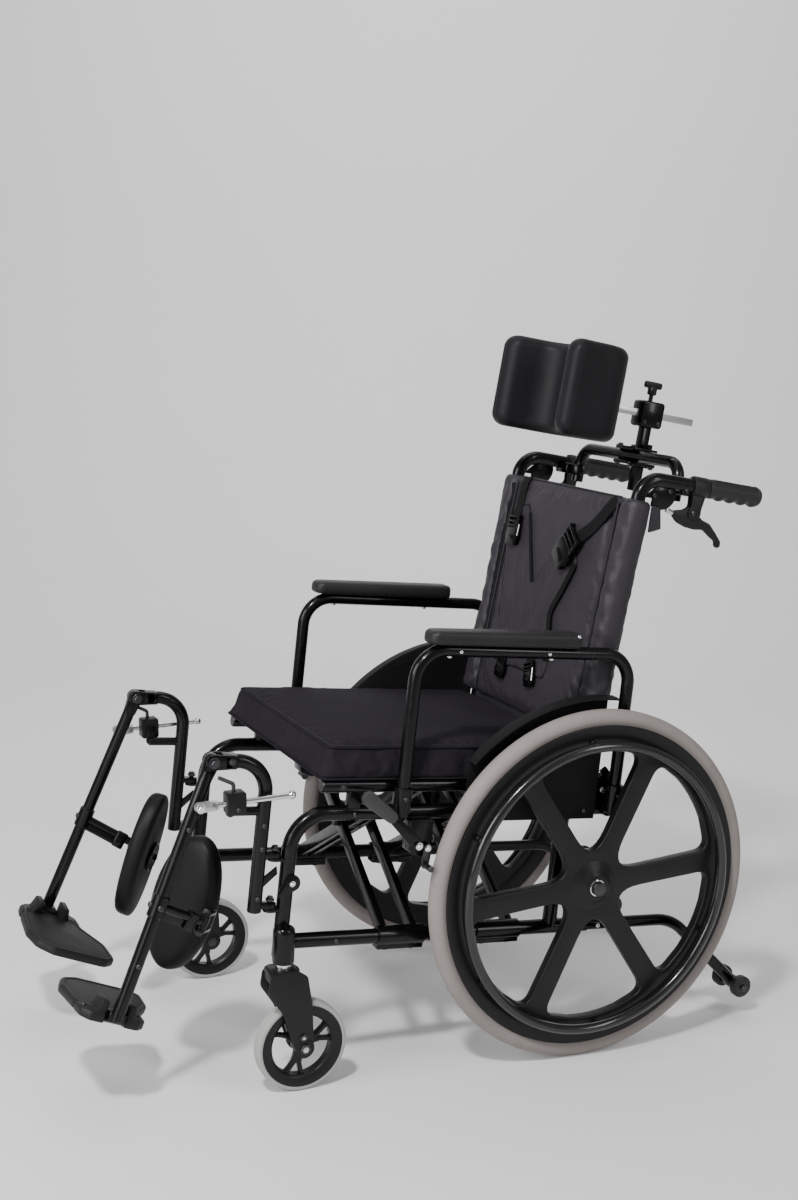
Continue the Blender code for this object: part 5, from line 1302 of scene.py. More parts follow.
# %% Footplates
foot_place = LEG @ Matrix.Translation((HINGE_X, 0, -LEG_LONG))
outline = [(-0.014, -0.050, 0.006), (-0.040, -0.056, 0.010), (-0.110, -0.060, 0.020),
           (-0.150, -0.048, 0.022), (-0.168, -0.020, 0.022), (-0.168, 0.074, 0.020),
           (-0.150, 0.094, 0.014), (-0.096, 0.088, 0.030), (-0.046, 0.058, 0.020), (-0.014, 0.050, 0.006)]
edge = eased(outline, 7)
foot = Shell()
foot.plate(edge, -0.0097, 0.0035, "Z", 0.0030)
border = []
for level, amount in ((0.0020, 0.0022), (0.0046, 0.0026), (0.0054, 0.0040), (0.0054, 0.0062),
                      (0.0046, 0.0078), (0.0030, 0.0084)):
    border.append([(x, y, level) for x, y in inset(edge, amount)])
foot.skin(border)
foot.faces = foot.faces[:-2]
for low, high in ((-0.029, -0.0165), (0.0165, 0.029)):
    foot.turned(bush(low, high, 0.0105), lying((0, 0, 0)), 28)
foot.rod((0, -0.030, 0), (0, 0.030, 0), 0.0045)
lug = [(-0.030, 0.0168, 0.002), (-0.030, 0.0560, 0.004), (-0.002, 0.0535, 0.012), (0.0125, 0.0400, 0.008),
       (0.0125, 0.0168, 0.003)]
cheek = [(0.0168, 0.0, 0.002), (0.0385, 0.0, 0.002), (0.0330, 0.0085, 0.010), (0.0285, 0.0250, 0.004),
         (0.0168, 0.0250, 0.003)]
for sign in (-1, 1):
    foot.plate(eased([(x, sign * y, r) for x, y, r in lug]), -0.0097, 0.0048, "Z", 0.0030)
    foot.plate(eased([(sign * y, z, r) for y, z, r in cheek]), -0.0255, 0.0110, "X", 0.0030)
for y in (-0.044, 0.058):
    foot.block((-0.138, y - 0.0016, -0.0125), (-0.030, y + 0.0016, -0.0090), 0.0008)
both(foot, "footplate", FOOT, "foot", "nylon", "footplate", foot_place)
tread = Shell().plate(inset(edge, 0.0086), 0.0026, 0.0040, "Z", 0.0004)
both(tread, "footplate_tread", TREAD, "foot", "nylon", None, foot_place)
print("footplates")

# %% [markdown]
# ## Soft pieces
# Pads are moulded foam, so their skins are swept or lofted sections with soft edges. The cushion
# and the back are covers over foam: the form is remeshed evenly, its seams are held, and a short
# cloth simulation lets the fabric swell and pucker between them. The movement is capped.

# %% Cloth tools
COVER = {"quality": 4, "mass": 0.25, "tension_stiffness": 18, "compression_stiffness": 14,
         "shear_stiffness": 6, "bending_stiffness": 0.35, "use_pressure": True,
         "vertex_group_mass": "seams"}
SWELL_STEPS = 20


def worked(thing, kind, **settings):
    """Add one modifier with these settings, then keep only the mesh it makes."""
    step = thing.modifiers.new("step", kind)
    for key, value in settings.items():
        setattr(step, key, value)
    mesh = baked(thing)
    thing.modifiers.clear()
    thing.data = mesh
    return thing


def remeshed(thing, size):
    """Even faces of this size, with their corners eased."""
    worked(thing, "REMESH", mode="VOXEL", voxel_size=size, use_smooth_shade=True)
    return worked(thing, "SMOOTH", iterations=2)


def refined(thing):
    """Cut each face in four and round the result."""
    worked(thing, "SUBSURF", levels=1, render_levels=1)
    shade_smooth(thing.data)
    return thing


def swell(thing, held, pressure, slack, cap):
    """Let a cover swell between its held seams, and cap how far any point moves."""
    start = [vertex.co.copy() for vertex in thing.data.vertices]
    group = thing.vertex_groups.new(name="seams")
    for vertex in thing.data.vertices:
        weight = held(vertex.co)
        if weight > 0:
            group.add([vertex.index], weight, "REPLACE")
    step = thing.modifiers.new("cover", "CLOTH")
    for key, value in COVER.items():
        setattr(step.settings, key, value)
    step.settings.uniform_pressure_force = pressure
    step.settings.shrink_min = slack
    step.settings.effector_weights.gravity = 0.0
    step.collision_settings.use_collision = False
    step.collision_settings.use_self_collision = False
    step.point_cache.frame_start = 1
    step.point_cache.frame_end = SWELL_STEPS
    for number in range(1, SWELL_STEPS + 1):
        bpy.context.scene.frame_set(number)
        thing.evaluated_get(bpy.context.evaluated_depsgraph_get())
    mesh = baked(thing)
    moves = [mesh.vertices[i].co - start[i] for i in range(len(start))]
    thing.modifiers.clear()
    bpy.data.meshes.remove(mesh)
    bpy.context.scene.frame_set(1)
    for vertex, origin, move in zip(thing.data.vertices, start, moves):
        if move.length > cap:
            move = move * (cap / move.length)
        vertex.co = origin + move
    thing.vertex_groups.clear()
    most = max(move.length for move in moves)
    print(thing.name, "swelled by up to", round(most * 1000, 1), "mm before the cap")


# %% Creases
def rumple(thing, depth):
    """Move each point along its normal by a depth worked out from its place."""
    normals = [vertex.normal.copy() for vertex in thing.data.vertices]
    for vertex, normal in zip(thing.data.vertices, normals):
        vertex.co += normal * depth(vertex.co)


def ripple(x, y, z):
    """Smooth noise between -1 and 1."""
    return noise.noise(Vector((x, y, z)))


def ridge(x, y, z):
    """A sharp fold line where the noise crosses zero, from 0 to 1."""
    return max(0.0, 1 - 3.2 * abs(ripple(x, y, z))) ** 2


def share_of(value):
    """The value, held between 0 and 1."""
    return max(0.0, min(1.0, value))


print("crease tools ready")


# %% Piping
def seam(loop, radius, name, look, place, closed=True):
    """A cord of piping along a line of points."""
    points = [place @ Vector(p) for p in loop]
    rings = []
    count = len(points)
    for i, point in enumerate(points):
        ahead = points[(i + 1) % count] - points[i - 1]
        if not closed and i in (0, count - 1):
            ahead = points[min(i + 1, count - 1)] - points[max(i - 1, 0)]
        ahead.normalize()
        side_way = ahead.cross(Vector((0.31, 0.47, 0.83))).normalized()
        up = ahead.cross(side_way)
        rings.append([point + (side_way * math.cos(t) + up * math.sin(t)) * radius for t in turns(8)])
    return Shell().skin(rings, None, closed).thing(name, look, Matrix(), 80)


def dense(points, step, closed=False):
    """Points along a line at an even step."""
    line = [Vector(p) for p in points]
    if closed:
        line.append(line[0])
    result = []
    for first, second in zip(line, line[1:]):
        count = max(1, round((second - first).length / step))
        for k in range(count):
            result.append(first.lerp(second, k / count))
    if not closed:
        result.append(line[-1])
    return result


print("piping tools ready")

# %% Seat cushion
SEAT_LOW = 0.1719
SEAT_T = 0.053
SEAT_HALF = 0.2330
SEAT_FRONT = -0.497
SEAT_REAR = -0.026
SEAT_MID = (SEAT_FRONT + SEAT_REAR) / 2
SEAT_LONG = (SEAT_REAR - SEAT_FRONT) / 2
untilt = TILT.inverted()


def seat_ring(share, amount, steps=6):
    """The cushion's outline at a share of its height, drawn in by an amount."""
    outline = rounded(0, SEAT_MID + amount * 0.5, SEAT_HALF - amount, SEAT_LONG - amount * 0.5, 0.014,
                      steps)
    return [(x, y, SEAT_LOW + SEAT_T * share) for x, y in outline]


def on_seat(thing, *nodes):
    """Carry a piece on the seat and give it a mesh of its own."""
    carry(thing, "seat", "cloth", *nodes)
    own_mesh(thing)


def seat_seam(point):
    """How firmly a seam holds the cover here."""
    local = untilt @ point
    share = (local.z - SEAT_LOW) / SEAT_T
    gap_x = SEAT_HALF - abs(local.x)
    gap_y = SEAT_LONG - abs(local.y - SEAT_MID)
    if share < 0.08:
        return 1.0
    if 0.88 < share < 1.02 and 0.011 < min(gap_x, gap_y) < 0.0235:
        return 0.95
    if gap_x < 0.030 and gap_y < 0.026 and share < 0.95 and abs(gap_x - gap_y) < 0.006:
        return 0.9
    return 0.0


def seat_crease(point):
    """Broad waves on top and puckers down the sides."""
    local = untilt @ point
    if (local.z - SEAT_LOW) / SEAT_T > 0.98:
        return 0.0016 * ripple(local.x * 9, local.y * 7, 3.1)
    pucker = ripple(local.x * 55, local.y * 55, local.z * 16)
    return 0.0011 * pucker + 0.0010 * ripple(local.x * 14, local.y * 14, 8.0)


seat_levels = ((0.0, 0.006), (0.04, 0.001), (0.10, 0.0), (0.30, 0.0050), (0.45, 0.0082), (0.62, 0.0102),
               (0.82, 0.0118), (0.93, 0.0140), (0.985, 0.0175), (1.015, 0.026), (1.045, 0.048),
               (1.068, 0.075), (1.090, 0.110), (1.100, 0.150))
seat_shell = Shell().skin([seat_ring(share, amount) for share, amount in seat_levels])
seat = remeshed(seat_shell.thing("seat_cushion_cover", SEATING), 0.0065)
swell(seat, seat_seam, 4.0, -0.03, 0.004)
rumple(seat, seat_crease)
refined(seat)
on_seat(seat, "seat_cushion")
for name, share, amount, radius in (("seat_cushion_piping", 0.965, 0.0148, 0.0017),
                                    ("seat_cushion_low_piping", 0.06, 0.0002, 0.0016)):
    on_seat(seam(dense(seat_ring(share, amount, 8), 0.006, True), radius, name, SEATING, TILT))
print("seat cushion", len(seat.data.polygons), "faces")

# %% [markdown]
# ## Back upholstery
# A padded panel runs between two bolsters that wrap the posts, so it can stay slack when the
# frame folds. The seams along the bolsters are held while the covers swell, and the lower half
# of each bolster is creased where the sitter's weight works it.

# %% Back panel and bolsters
PANEL_FRONT = -0.015
PANEL_BACK = 0.013
INNER_X = POST_X - BOLSTER_R * 0.87 - 0.014
unpost = POST.inverted()


def back_section(shrink):
    """The level outline of the panel with a bolster round each post."""
    right = arc(POST_X, 0, BOLSTER_R - shrink, -150, 150, 26)
    outline = [(x, PANEL_FRONT + shrink) for x in (-INNER_X, 0, INNER_X)] + right
    outline += [(x, PANEL_BACK - shrink) for x in (INNER_X, 0, -INNER_X)]
    return outline + [(-x, b) for x, b in reversed(right)]


def leaned(thing):
    """Bring the foot of the back forward, as a slack cover hangs."""
    for vertex in thing.data.vertices:
        local = unpost @ vertex.co
        local.y -= 0.010 * share_of((0.50 - local.z) / 0.40)
        vertex.co = POST @ local
    return thing


def on_back(thing, slot="cloth", *nodes):
    """Lean a piece forward at its foot and carry it on the left back post, with a mesh of its own."""
    carry(leaned(thing), "back_left", slot, *nodes)
    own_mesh(thing)
    return thing


def back_seam(point):
    """How firmly a seam holds the cover here."""
    local = unpost @ point
    if local.z < BACK_LOW + 0.012 or local.z > BACK_HIGH - 0.012:
        return 0.95
    if abs(abs(local.x) - INNER_X) < 0.006:
        return 0.9
    return 0.0


def back_crease(point):
    """Slanting folds and a seam groove on the bolsters, soft waves on the panel."""
    local = unpost @ point
    low = share_of((0.40 - local.z) / 0.2)
    if abs(local.x) > INNER_X:
        slant = ripple(local.x * 30, local.y * 30 + local.z * 26, local.z * 62)
        broad = ripple(local.x * 8, local.y * 10, local.z * 14)
        away = abs(local.x) - INNER_X - 0.006
        groove = -0.0025 * math.exp(-(away / 0.006) ** 2)
        pucker = ripple(1.7, local.y * 12, local.z * 85 + away * 30) * math.exp(-max(0.0, away) / 0.016)
        folds = slant * (0.0006 + 0.0016 * low) + pucker * (0.0010 + 0.0022 * low)
        return folds + broad * 0.0014 + groove
    broad = ripple(local.x * 9, 2.0, local.z * 11)
    fold = ripple(local.x * 26 + local.z * 18, 5.0, local.z * 30)
    return 0.0014 * broad + 0.0008 * fold


def fine_crease(point):
    """Short pulls and sharp folds beside the bolsters' seams."""
    local = unpost @ point
    low = share_of((0.45 - local.z) / 0.16)
    away = abs(local.x) - INNER_X - 0.004
    near_seam = math.exp(-away / 0.026) if away > 0 else math.exp(away / 0.030)
    pull = ripple(local.x * 9, 4.0, local.z * 52 + away * 45)
    fold = ridge(local.x * 7, 9.0, local.z * 30 + away * 38)
    far_side = 0.4 if local.x < 0 else 1.0
    return far_side * low * near_seam * (0.0020 * pull - 0.0032 * fold)


levels = ((BACK_LOW, 0.007), (BACK_LOW + 0.003, 0.003), (BACK_LOW + 0.010, 0.0005),
          (BACK_LOW + 0.06, 0.0), (BACK_LOW + 0.19, 0.0008), (BACK_HIGH - 0.06, 0.0),
          (BACK_HIGH - 0.010, 0.0005), (BACK_HIGH - 0.003, 0.003), (BACK_HIGH, 0.007))
back_shell = Shell().skin([[(x, b, u) for x, b in back_section(shrink)] for u, shrink in levels])
back = remeshed(back_shell.thing("back_cover", CLOTH, POST), 0.0060)
swell(back, back_seam, 3.5, -0.03, 0.0045)
rumple(back, back_crease)
refined(back)
rumple(back, fine_crease)
on_back(back, "cloth", "back_upholstery")
print("back cover", len(back.data.polygons), "faces")

# %% Back piping and flaps
FLAP_X = 0.222
FLAP = [(0.0215, 0.500, 0.002), (0.041, 0.496, 0.002), (0.050, 0.462, 0.003), (0.0255, 0.452, 0.003)]
TUCK_HALF = INNER_X + 0.018
TUCK_T = 0.0018
for side_name, sign in SIDES:
    x = sign * (INNER_X + 0.004)
    run = dense([(x, PANEL_FRONT - 0.0012, BACK_LOW + 0.01), (x, PANEL_FRONT - 0.0012, BACK_HIGH - 0.01)],
                0.01)
    on_back(seam(run, 0.0016, "bolster_edge_piping_" + side_name, CLOTH, POST, False))
    flap = Shell().plate(eased(FLAP), sign * FLAP_X - 0.0012, sign * FLAP_X + 0.0012, "X", 0.0009)
    thing = on_back(flap.thing("bolster_flap_" + side_name, CLOTH, POST))
top_run = dense([(x, PANEL_FRONT + 0.006, BACK_HIGH - 0.0005) for x in (-INNER_X, INNER_X)], 0.01)
on_back(seam(top_run, 0.0016, "back_top_piping", CLOTH, POST, False))
rings = []
for k in range(41):
    x = TUCK_HALF * (k / 20 - 1)
    wave = 0.0035 * ripple(x * 22, 3.0, 1.0)
    hang = ((0.098, 0.0), (0.080, -0.001), (0.060, wave), (0.040, 1.6 * wave), (0.022, 2.0 * wave))
    ring = [(x, -0.0030 + step, u) for u, step in hang]
    rings.append(ring + [(x, b + TUCK_T, u) for x, b, u in reversed(ring)])
tuck = on_back(Shell().skin(rings).thing("back_tuck_flap", CLOTH, POST, 60))
print("tuck flap", round(2 * TUCK_HALF * 1000), "mm wide")

# %% [markdown]
# ## Harness vest
# A cloth vest lies on the panel with a V neck and two shoulder tabs. Webbing runs from the top
# of the panel through ladder buckles to the tabs, and two lower straps hang to the seat. The
# straps are ribbons drawn along a line of points, each with its own facing.

# %% Vest
VEST_BACK = PANEL_FRONT - 0.0012
VEST_FRONT = PANEL_FRONT - 0.0060
vest_outline = [(-0.040, 0.313, 0.006), (0.010, 0.381, 0.006), (0.034, 0.406, 0.010),
                (0.084, 0.398, 0.010), (0.096, 0.374, 0.008), (0.043, 0.270, 0.030),
                (0.056, 0.236, 0.020), (0.066, 0.196, 0.012), (0.062, 0.158, 0.008),
                (-0.126, 0.158, 0.008), (-0.132, 0.205, 0.020), (-0.136, 0.240, 0.020),
                (-0.152, 0.320, 0.030), (-0.168, 0.392, 0.010), (-0.160, 0.440, 0.010),
                (-0.112, 0.456, 0.008), (-0.098, 0.440, 0.008)]
vest_edge = eased(vest_outline, 6)
vest_shell = Shell().plate(vest_edge, VEST_FRONT, VEST_BACK, "Y", 0.0018)
vest = vest_shell.thing("harness_vest_cloth", VEST, POST)


def cut_up(thing, size):
    """Triangles cut down to this size, so that the piece can crease."""
    work = bmesh.new()
    work.from_mesh(thing.data)
    bmesh.ops.triangulate(work, faces=work.faces)
    for _ in range(7):
        long_edges = [edge for edge in work.edges if edge.calc_length() > size]
        if not long_edges:
            break
        bmesh.ops.subdivide_edges(work, edges=long_edges, cuts=1)
        bmesh.ops.triangulate(work, faces=work.faces)
    work.to_mesh(thing.data)
    work.free()
    shade_smooth(thing.data)


def vest_crease(point):
    """Slack folds down the front, none on the face that lies on the panel."""
    local = unpost @ point
    if local.y > VEST_BACK - 0.0006:
        return 0.0
    lines = ripple(local.x * 34 - local.z * 14, 1.0, local.z * 12)
    low = share_of((0.33 - local.z) / 0.1)
    slack = share_of((0.40 - local.z) / 0.1)
    fold = ridge(local.x * 22 + local.z * 6, 7.0, local.z * 5)
    return lines * (0.0014 + 0.0022 * low) + 0.0024 * slack * fold


cut_up(vest, 0.006)
rumple(vest, vest_crease)
on_back(vest, "cloth", "harness_vest")
binding = dense([(x, VEST_FRONT + 0.0022, u) for x, u in vest_edge], 0.006, True)
on_back(seam(binding, 0.0023, "vest_binding", WEBBING, POST))
# Painted shade: a black webbing cord down one edge of the V neck stands for the shadow in the gap there.
# It is not a part of the vest.
painted_shadow_line = dense([(-0.099, VEST_FRONT + 0.0005, 0.441), (-0.0705, VEST_FRONT - 0.0002, 0.378),
              (-0.0425, VEST_FRONT, 0.318)], 0.006)
on_back(seam(painted_shadow_line, 0.0036, "vest_neck_slit", WEBBING, POST, False))
print("vest", len(vest.data.polygons), "faces")

# %% Straps
STRAP_T = 0.0018
FACE = (0, -1, 0)
FLOAT = PANEL_FRONT - 0.004
ZIP_X = 0.0225 - POST_X


def ribbon(line, wide, thick, name):
    """A strap along (point, facing) pairs."""
    rings = []
    points = [Vector(p) for p, _ in line]
    last = len(line) - 1
    for i, (_, facing) in enumerate(line):
        ahead = (points[min(i + 1, last)] - points[max(i - 1, 0)]).normalized()
        out = Vector(facing)
        out = (out - ahead * out.dot(ahead)).normalized()
        across = ahead.cross(out)
        section = rounded(0, 0, wide / 2, thick / 2, thick * 0.45, 3)
        rings.append([points[i] + across * a + out * b for a, b in section])
    return Shell().skin(rings).thing(name, WEBBING, POST, 40)


def curve_line(points, facing, steps=8):
    """A smooth line through points, by blends of neighbouring spans."""
    spots = [Vector(p) for p in points]
    spots = [spots[0] * 2 - spots[1]] + spots + [spots[-1] * 2 - spots[-2]]
    line = []
    for i in range(1, len(spots) - 2):
        p, q, r, s = spots[i - 1:i + 3]
        for k in range(steps):
            t = k / steps
            bend = (2 * p - 5 * q + 4 * r - s) * t * t
            twist = (3 * q - p - 3 * r + s) * t ** 3
            line.append((0.5 * (2 * q + (r - p) * t + bend + twist), facing))
    line.append((spots[-2], facing))
    return line


strap_runs = {
    "near_shoulder": [(0.169, PANEL_FRONT + 0.004, 0.4975), (0.163, PANEL_FRONT - 0.003, 0.488),
                      (0.132, FLOAT - 0.003, 0.450), (0.096, FLOAT - 0.008, 0.420)],
    "far_shoulder": [(-0.146, PANEL_FRONT + 0.004, BACK_HIGH + 0.001),
                     (-0.146, PANEL_FRONT - 0.003, 0.490), (-0.142, FLOAT - 0.002, 0.450),
                     (-0.138, FLOAT - 0.008, 0.424)],
    "near_waist": [(0.094, FLOAT - 0.004, 0.372), (0.072, FLOAT - 0.005, 0.325),
                   (0.048, FLOAT - 0.005, 0.278), (0.056, FLOAT - 0.006, 0.240),
                   (0.062, FLOAT - 0.006, 0.190)],
    "far_lower": [(-0.070, VEST_FRONT - 0.001, 0.205), (-0.076, VEST_FRONT - 0.002, 0.185),
                  (-0.080, VEST_FRONT - 0.003, 0.160), (-0.082, VEST_FRONT - 0.003, 0.142)],
    "near_lower": [(0.004, VEST_FRONT - 0.001, 0.210), (0.012, VEST_FRONT - 0.002, 0.188),
                   (0.022, VEST_FRONT - 0.003, 0.160), (0.034, VEST_FRONT - 0.003, 0.140)],
}
for label, points in strap_runs.items():
    wide = 0.013 if label == "near_waist" else 0.025
    line = curve_line(points, FACE)
    strap = on_back(ribbon(line, wide, STRAP_T, label + "_strap"))
    long = sum((second[0] - first[0]).length for first, second in zip(line, line[1:]))
    print(label, "strap", round(wide * 1000), "by", round(long * 1000), "mm")
zip_line = [((ZIP_X, PANEL_FRONT - 0.0020, u / 100), (0.35, -0.94, 0)) for u in range(19, 50)]
zip_tape = on_back(ribbon(zip_line, 0.011, 0.0016, "bolster_zip_tape"))


# %% Buckles
def buckle(centre, along, scale):
    """A side-release buckle with a ladder end, lying in the panel's plane."""
    ahead = Vector((along[0], 0, along[1])).normalized()
    out = Vector(FACE)
    turn = Matrix((ahead.cross(out), ahead, out)).transposed().to_4x4()
    place = Matrix.Translation(centre) @ turn @ Matrix.Scale(scale, 4)
    shell = Shell()
    body = [(-0.0155, -0.024, 0.006), (0.0155, -0.024, 0.006), (0.0175, -0.004, 0.004),
            (0.0155, 0.006, 0.003), (-0.0155, 0.006, 0.003), (-0.0175, -0.004, 0.004)]
    shell.plate(eased(body), -0.0035, 0.0050, "Z", 0.0020, place)
    for sign in (-1, 1):
        rail = rounded(sign * 0.0145, 0.015, 0.0026, 0.0115, 0.0015, 4)
        shell.plate(rail, -0.0030, 0.0046, "Z", 0.0012, place)
        tab = ((0.0160, -0.016, 0.003), (0.0200, -0.010, 0.003), (0.0190, 0.000, 0.003),
               (0.0150, 0.002, 0.002))
        shell.plate(eased([(sign * x, y, r) for x, y, r in tab]), -0.0020, 0.0036, "Z", 0.0012, place)
    for y in (0.0085, 0.0155, 0.0235):
        shell.plate(rounded(0, y, 0.0155, 0.0019, 0.0015, 4), -0.0016, 0.0050, "Z", 0.0012, place)
    return shell.plate(rounded(0, -0.0115, 0.0095, 0.0045, 0.003, 4), 0.0044, 0.0060, "Z", 0.0008, place)


buckle_spots = (("near_top", (0.066, VEST_FRONT - 0.0085, 0.396), (0.60, 0.74), 1.50),
                ("far_top", (-0.135, VEST_FRONT - 0.006, 0.402), (-0.05, 1.0), 1.15),
                ("far_low", (-0.081, VEST_FRONT - 0.004, 0.150), (0.1, 1.0), 0.9),
                ("near_low", (0.024, VEST_FRONT - 0.004, 0.156), (-0.35, 1.0), 0.9))
for label, centre, along, scale in buckle_spots:
    on_back(buckle(centre, along, scale).thing(label + "_buckle", CLIP, POST), "nylon")
pin_runs = (("far_buckle_pin", VEST_FRONT - 0.010, (-0.1135, 0.394), (-0.1125, 0.416)),
            ("near_low_buckle_pin", VEST_FRONT - 0.0075, (0.041, 0.148), (0.036, 0.172)))
for label, b, (low_x, low_u), (high_x, high_u) in pin_runs:
    glint = Shell().rod((low_x, b, low_u), (high_x, b, high_u), 0.0017, 12)
    on_back(glint.thing(label, CHROME, POST), "chrome")
print("harness", len(strap_runs), "straps", len(buckle_spots), "buckles")

# %% [markdown]
# ## Foam pads
# The headrest is one upright section carried round a U, with its tips rounded in height and in
# thickness. The calf pads are domed ovals on a bracket, and the armrest pads are rounded bars.

# %% Headrest pad
HEAD_HALF = 0.125
HEAD_BACK = 0.0085
HEAD_T = 0.050
HEAD_TIP = -0.129
HEAD_TALL = 0.0835
HEAD_MID = 0.6745
OUTER_BEND = 0.056
INNER_BEND = 0.040
TIP_ROUND = 0.024
TIP_STEPS = 10
inner_half = HEAD_HALF - 0.046
inner_back = HEAD_BACK - HEAD_T


def half_line(half, back, bend):
    """Half of a U in plan, from its middle round the bend to where the tip begins."""
    line = [((half - bend) * k / 5, back) for k in range(5)]
    line += arc(half - bend, back - bend, bend, 90, 0, 14)
    wing = HEAD_TIP + TIP_ROUND - back + bend
    return line + [(half, back - bend + wing * k / 7) for k in range(1, 8)]


def flared(spot):
    """Open the wings a little towards their tips."""
    ahead = max(0.0, (HEAD_BACK - 0.050 - spot[1]) / 0.0875)
    return (spot[0] + 0.013 * ahead ** 1.2, spot[1])


outer_line = half_line(HEAD_HALF, HEAD_BACK, OUTER_BEND)
inner_line = half_line(inner_half, inner_back, INNER_BEND)
run = [(outer, inner, 1.0, 0.0) for outer, inner in zip(outer_line, inner_line)]
for k in range(1, TIP_STEPS + 1):
    lead = TIP_ROUND * math.sin(math.pi / 2 * k / TIP_STEPS)
    drop = TIP_ROUND - math.sqrt(max(0.0, TIP_ROUND ** 2 - lead ** 2))
    thin = math.sqrt(max(0.02, 1 - max(0.0, (lead - 0.006) / 0.0182) ** 2))
    b = HEAD_TIP + TIP_ROUND - lead
    run.append(((HEAD_HALF, b), (inner_half, b), thin, drop))
run = [(flared(outer), flared(inner), thin, drop) for outer, inner, thin, drop in run]
far_run = [((-o[0], o[1]), (-i[0], i[1]), thin, drop) for o, i, thin, drop in reversed(run[1:])]
rings = []
for outer, inner, thin, drop in far_run + run:
    centre = (Vector(outer) + Vector(inner)) / 2
    reach = (Vector(outer) - Vector(inner)) / 2
    wide = reach.length * thin
    ahead = reach.normalized()
    ring = []
    for across, up in rounded(0, 0, wide, HEAD_TALL - drop, min(0.019, wide * 0.85), 9):
        spot = centre + ahead * across * (1 + 0.03 * (1 - (up / HEAD_TALL) ** 2))
        ring.append((spot.x, spot.y, HEAD_MID + up))
    rings.append(ring)
head = refined(Shell().skin(rings).thing("headrest_pad_skin", HEAD, POST, 60))
carry(head, "headrest", "pad", "headrest_pad")
print("headrest pad", len(head.data.polygons), "faces")

# %% Armrest pads
PAD_LONG = 0.283
PAD_HALF = 0.023
pad_low = ARM_Z + 0.0105
pad_mid = ARM_FRONT_Y + 0.013 + PAD_LONG / 2
rings = []
for level, amount in ((0.0, 0.0040), (0.0015, 0.0020), (0.0050, 0.0002), (0.0100, 0.0), (0.0170, 0.0003),
                      (0.0210, 0.0016), (0.0237, 0.0044), (0.0248, 0.0085), (0.0252, 0.0140)):
    corner = max(0.006, 0.0165 - amount)
    ring = []
    for x, y in rounded(ARM_X, pad_mid, PAD_HALF - amount, PAD_LONG / 2 - amount, corner, 9):
        ahead = share_of((pad_mid - 0.06 - y) / 0.08)
        ring.append((x, y, pad_low + level * (1 - 0.16 * ahead ** 2)))
    rings.append(ring)
for thing in both(Shell().skin(rings), "armrest_pad", FOAM, "armrest", "pad", "armrest_pad", TILT, 50):
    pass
print("armrest pads", round(PAD_LONG * 1000), "mm long")

# %% Calf pads
CALF_HALF = 0.060
CALF_TALL = 0.112
CALF_ARM = (-0.030, 0.024)
calf_place = LEG @ Matrix.Translation(CALF_PIN)
calf_aim = Matrix.Rotation(math.radians(33), 4, "Z") @ Matrix.Rotation(math.radians(6), 4, "X")
pad_place = Matrix.Translation((-0.084, 0.004, 0.010)) @ calf_aim
rings = []
for depth, trim in ((0.0, 0.0115), (0.0012, 0.0060), (0.0040, 0.0015), (0.0075, 0.0), (0.0190, 0.0002),
                    (0.0250, 0.0018), (0.0292, 0.0052), (0.0318, 0.0105), (0.0332, 0.0180),
                    (0.0340, 0.0280)):
    half = CALF_HALF - trim
    tall = CALF_TALL - trim
    rings.append([(half * math.cos(t), -depth, tall * math.sin(t)) for t in turns(56)])
calf = Shell().skin(rings, pad_place)
for thing in both(calf, "calf_pad", CALF, "calf", "pad", "calf_pad", calf_place, 50):
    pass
bracket = Shell()
for level in (-0.0138, 0.0138):
    ear = link((0, 0), CALF_ARM, 0.0085, 0.0065, 12)
    bracket.plate(ear, level - 0.0025, level + 0.0025, "Z", 0.0008)
bracket.rod((*CALF_ARM, -0.019), (*CALF_ARM, 0.019), 0.0058)
arm_end = pad_place @ Vector((0.006, 0.002, 0.0))
bracket.rod((*CALF_ARM, 0), (arm_end.x, arm_end.y + 0.004, arm_end.z), 0.0062)
disc = [(-0.004, 0.0250), (-0.003, 0.0260), (0.0045, 0.0260), (0.006, 0.0245)]
bracket.turned(disc, pad_place @ lying((0.006, 0, 0)), 40)
bracket.rod((0, 0, -0.0175), (0, 0, 0.0175), 0.0040)
both(bracket, "calf_bracket", PAINT, "calf", "paint", None, calf_place)
print("calf pads", round(2 * CALF_TALL * 1000), "mm tall")

# %% [markdown]
# ## Screws, rivets, knurls and stitches
# Small heads hold the chair together and tell the eye its scale. Each head is one shape set on
# points that carry an aim and a size. The same tree sets the knurls on the grips, and the stitch
# tree lays thread along the seams.

# %% Head shapes
def hidden_shape(name, *profiles):
    """A small shape that is only copied: each profile comes with its number of sides."""
    shell = Shell()
    for profile, sides in profiles:
        shell.turned(profile, Matrix(), sides)
    thing = shell.thing(name, STEEL, Matrix())
    bpy.context.scene.collection.objects.unlink(thing)
    return thing


dome = [(-0.40, 0.95), (0.18, 1.0), (0.42, 0.90), (0.60, 0.66), (0.66, 0.42), (0.40, 0.38), (0.38, 0.05)]
washer = [(-0.40, 1.30), (0.10, 1.30), (0.16, 1.22)]
nut = [(0.0, 1.0), (0.70, 1.0), (0.82, 0.88)]
pip = [(-0.5, 1.0), (0.0, 0.95), (0.55, 0.40), (0.60, 0.10)]
thread = [(-0.0019, 0.0002), (-0.0015, 0.00055), (0.0015, 0.00055), (0.0019, 0.0002)]
SHAPES = {"dome": hidden_shape("dome", (dome, 20)),
          "hexagon": hidden_shape("hexagon", (washer, 28), (nut, 6)),
          "pip": hidden_shape("pip", (pip, 4)), "stitch": hidden_shape("stitch", (thread, 8))}


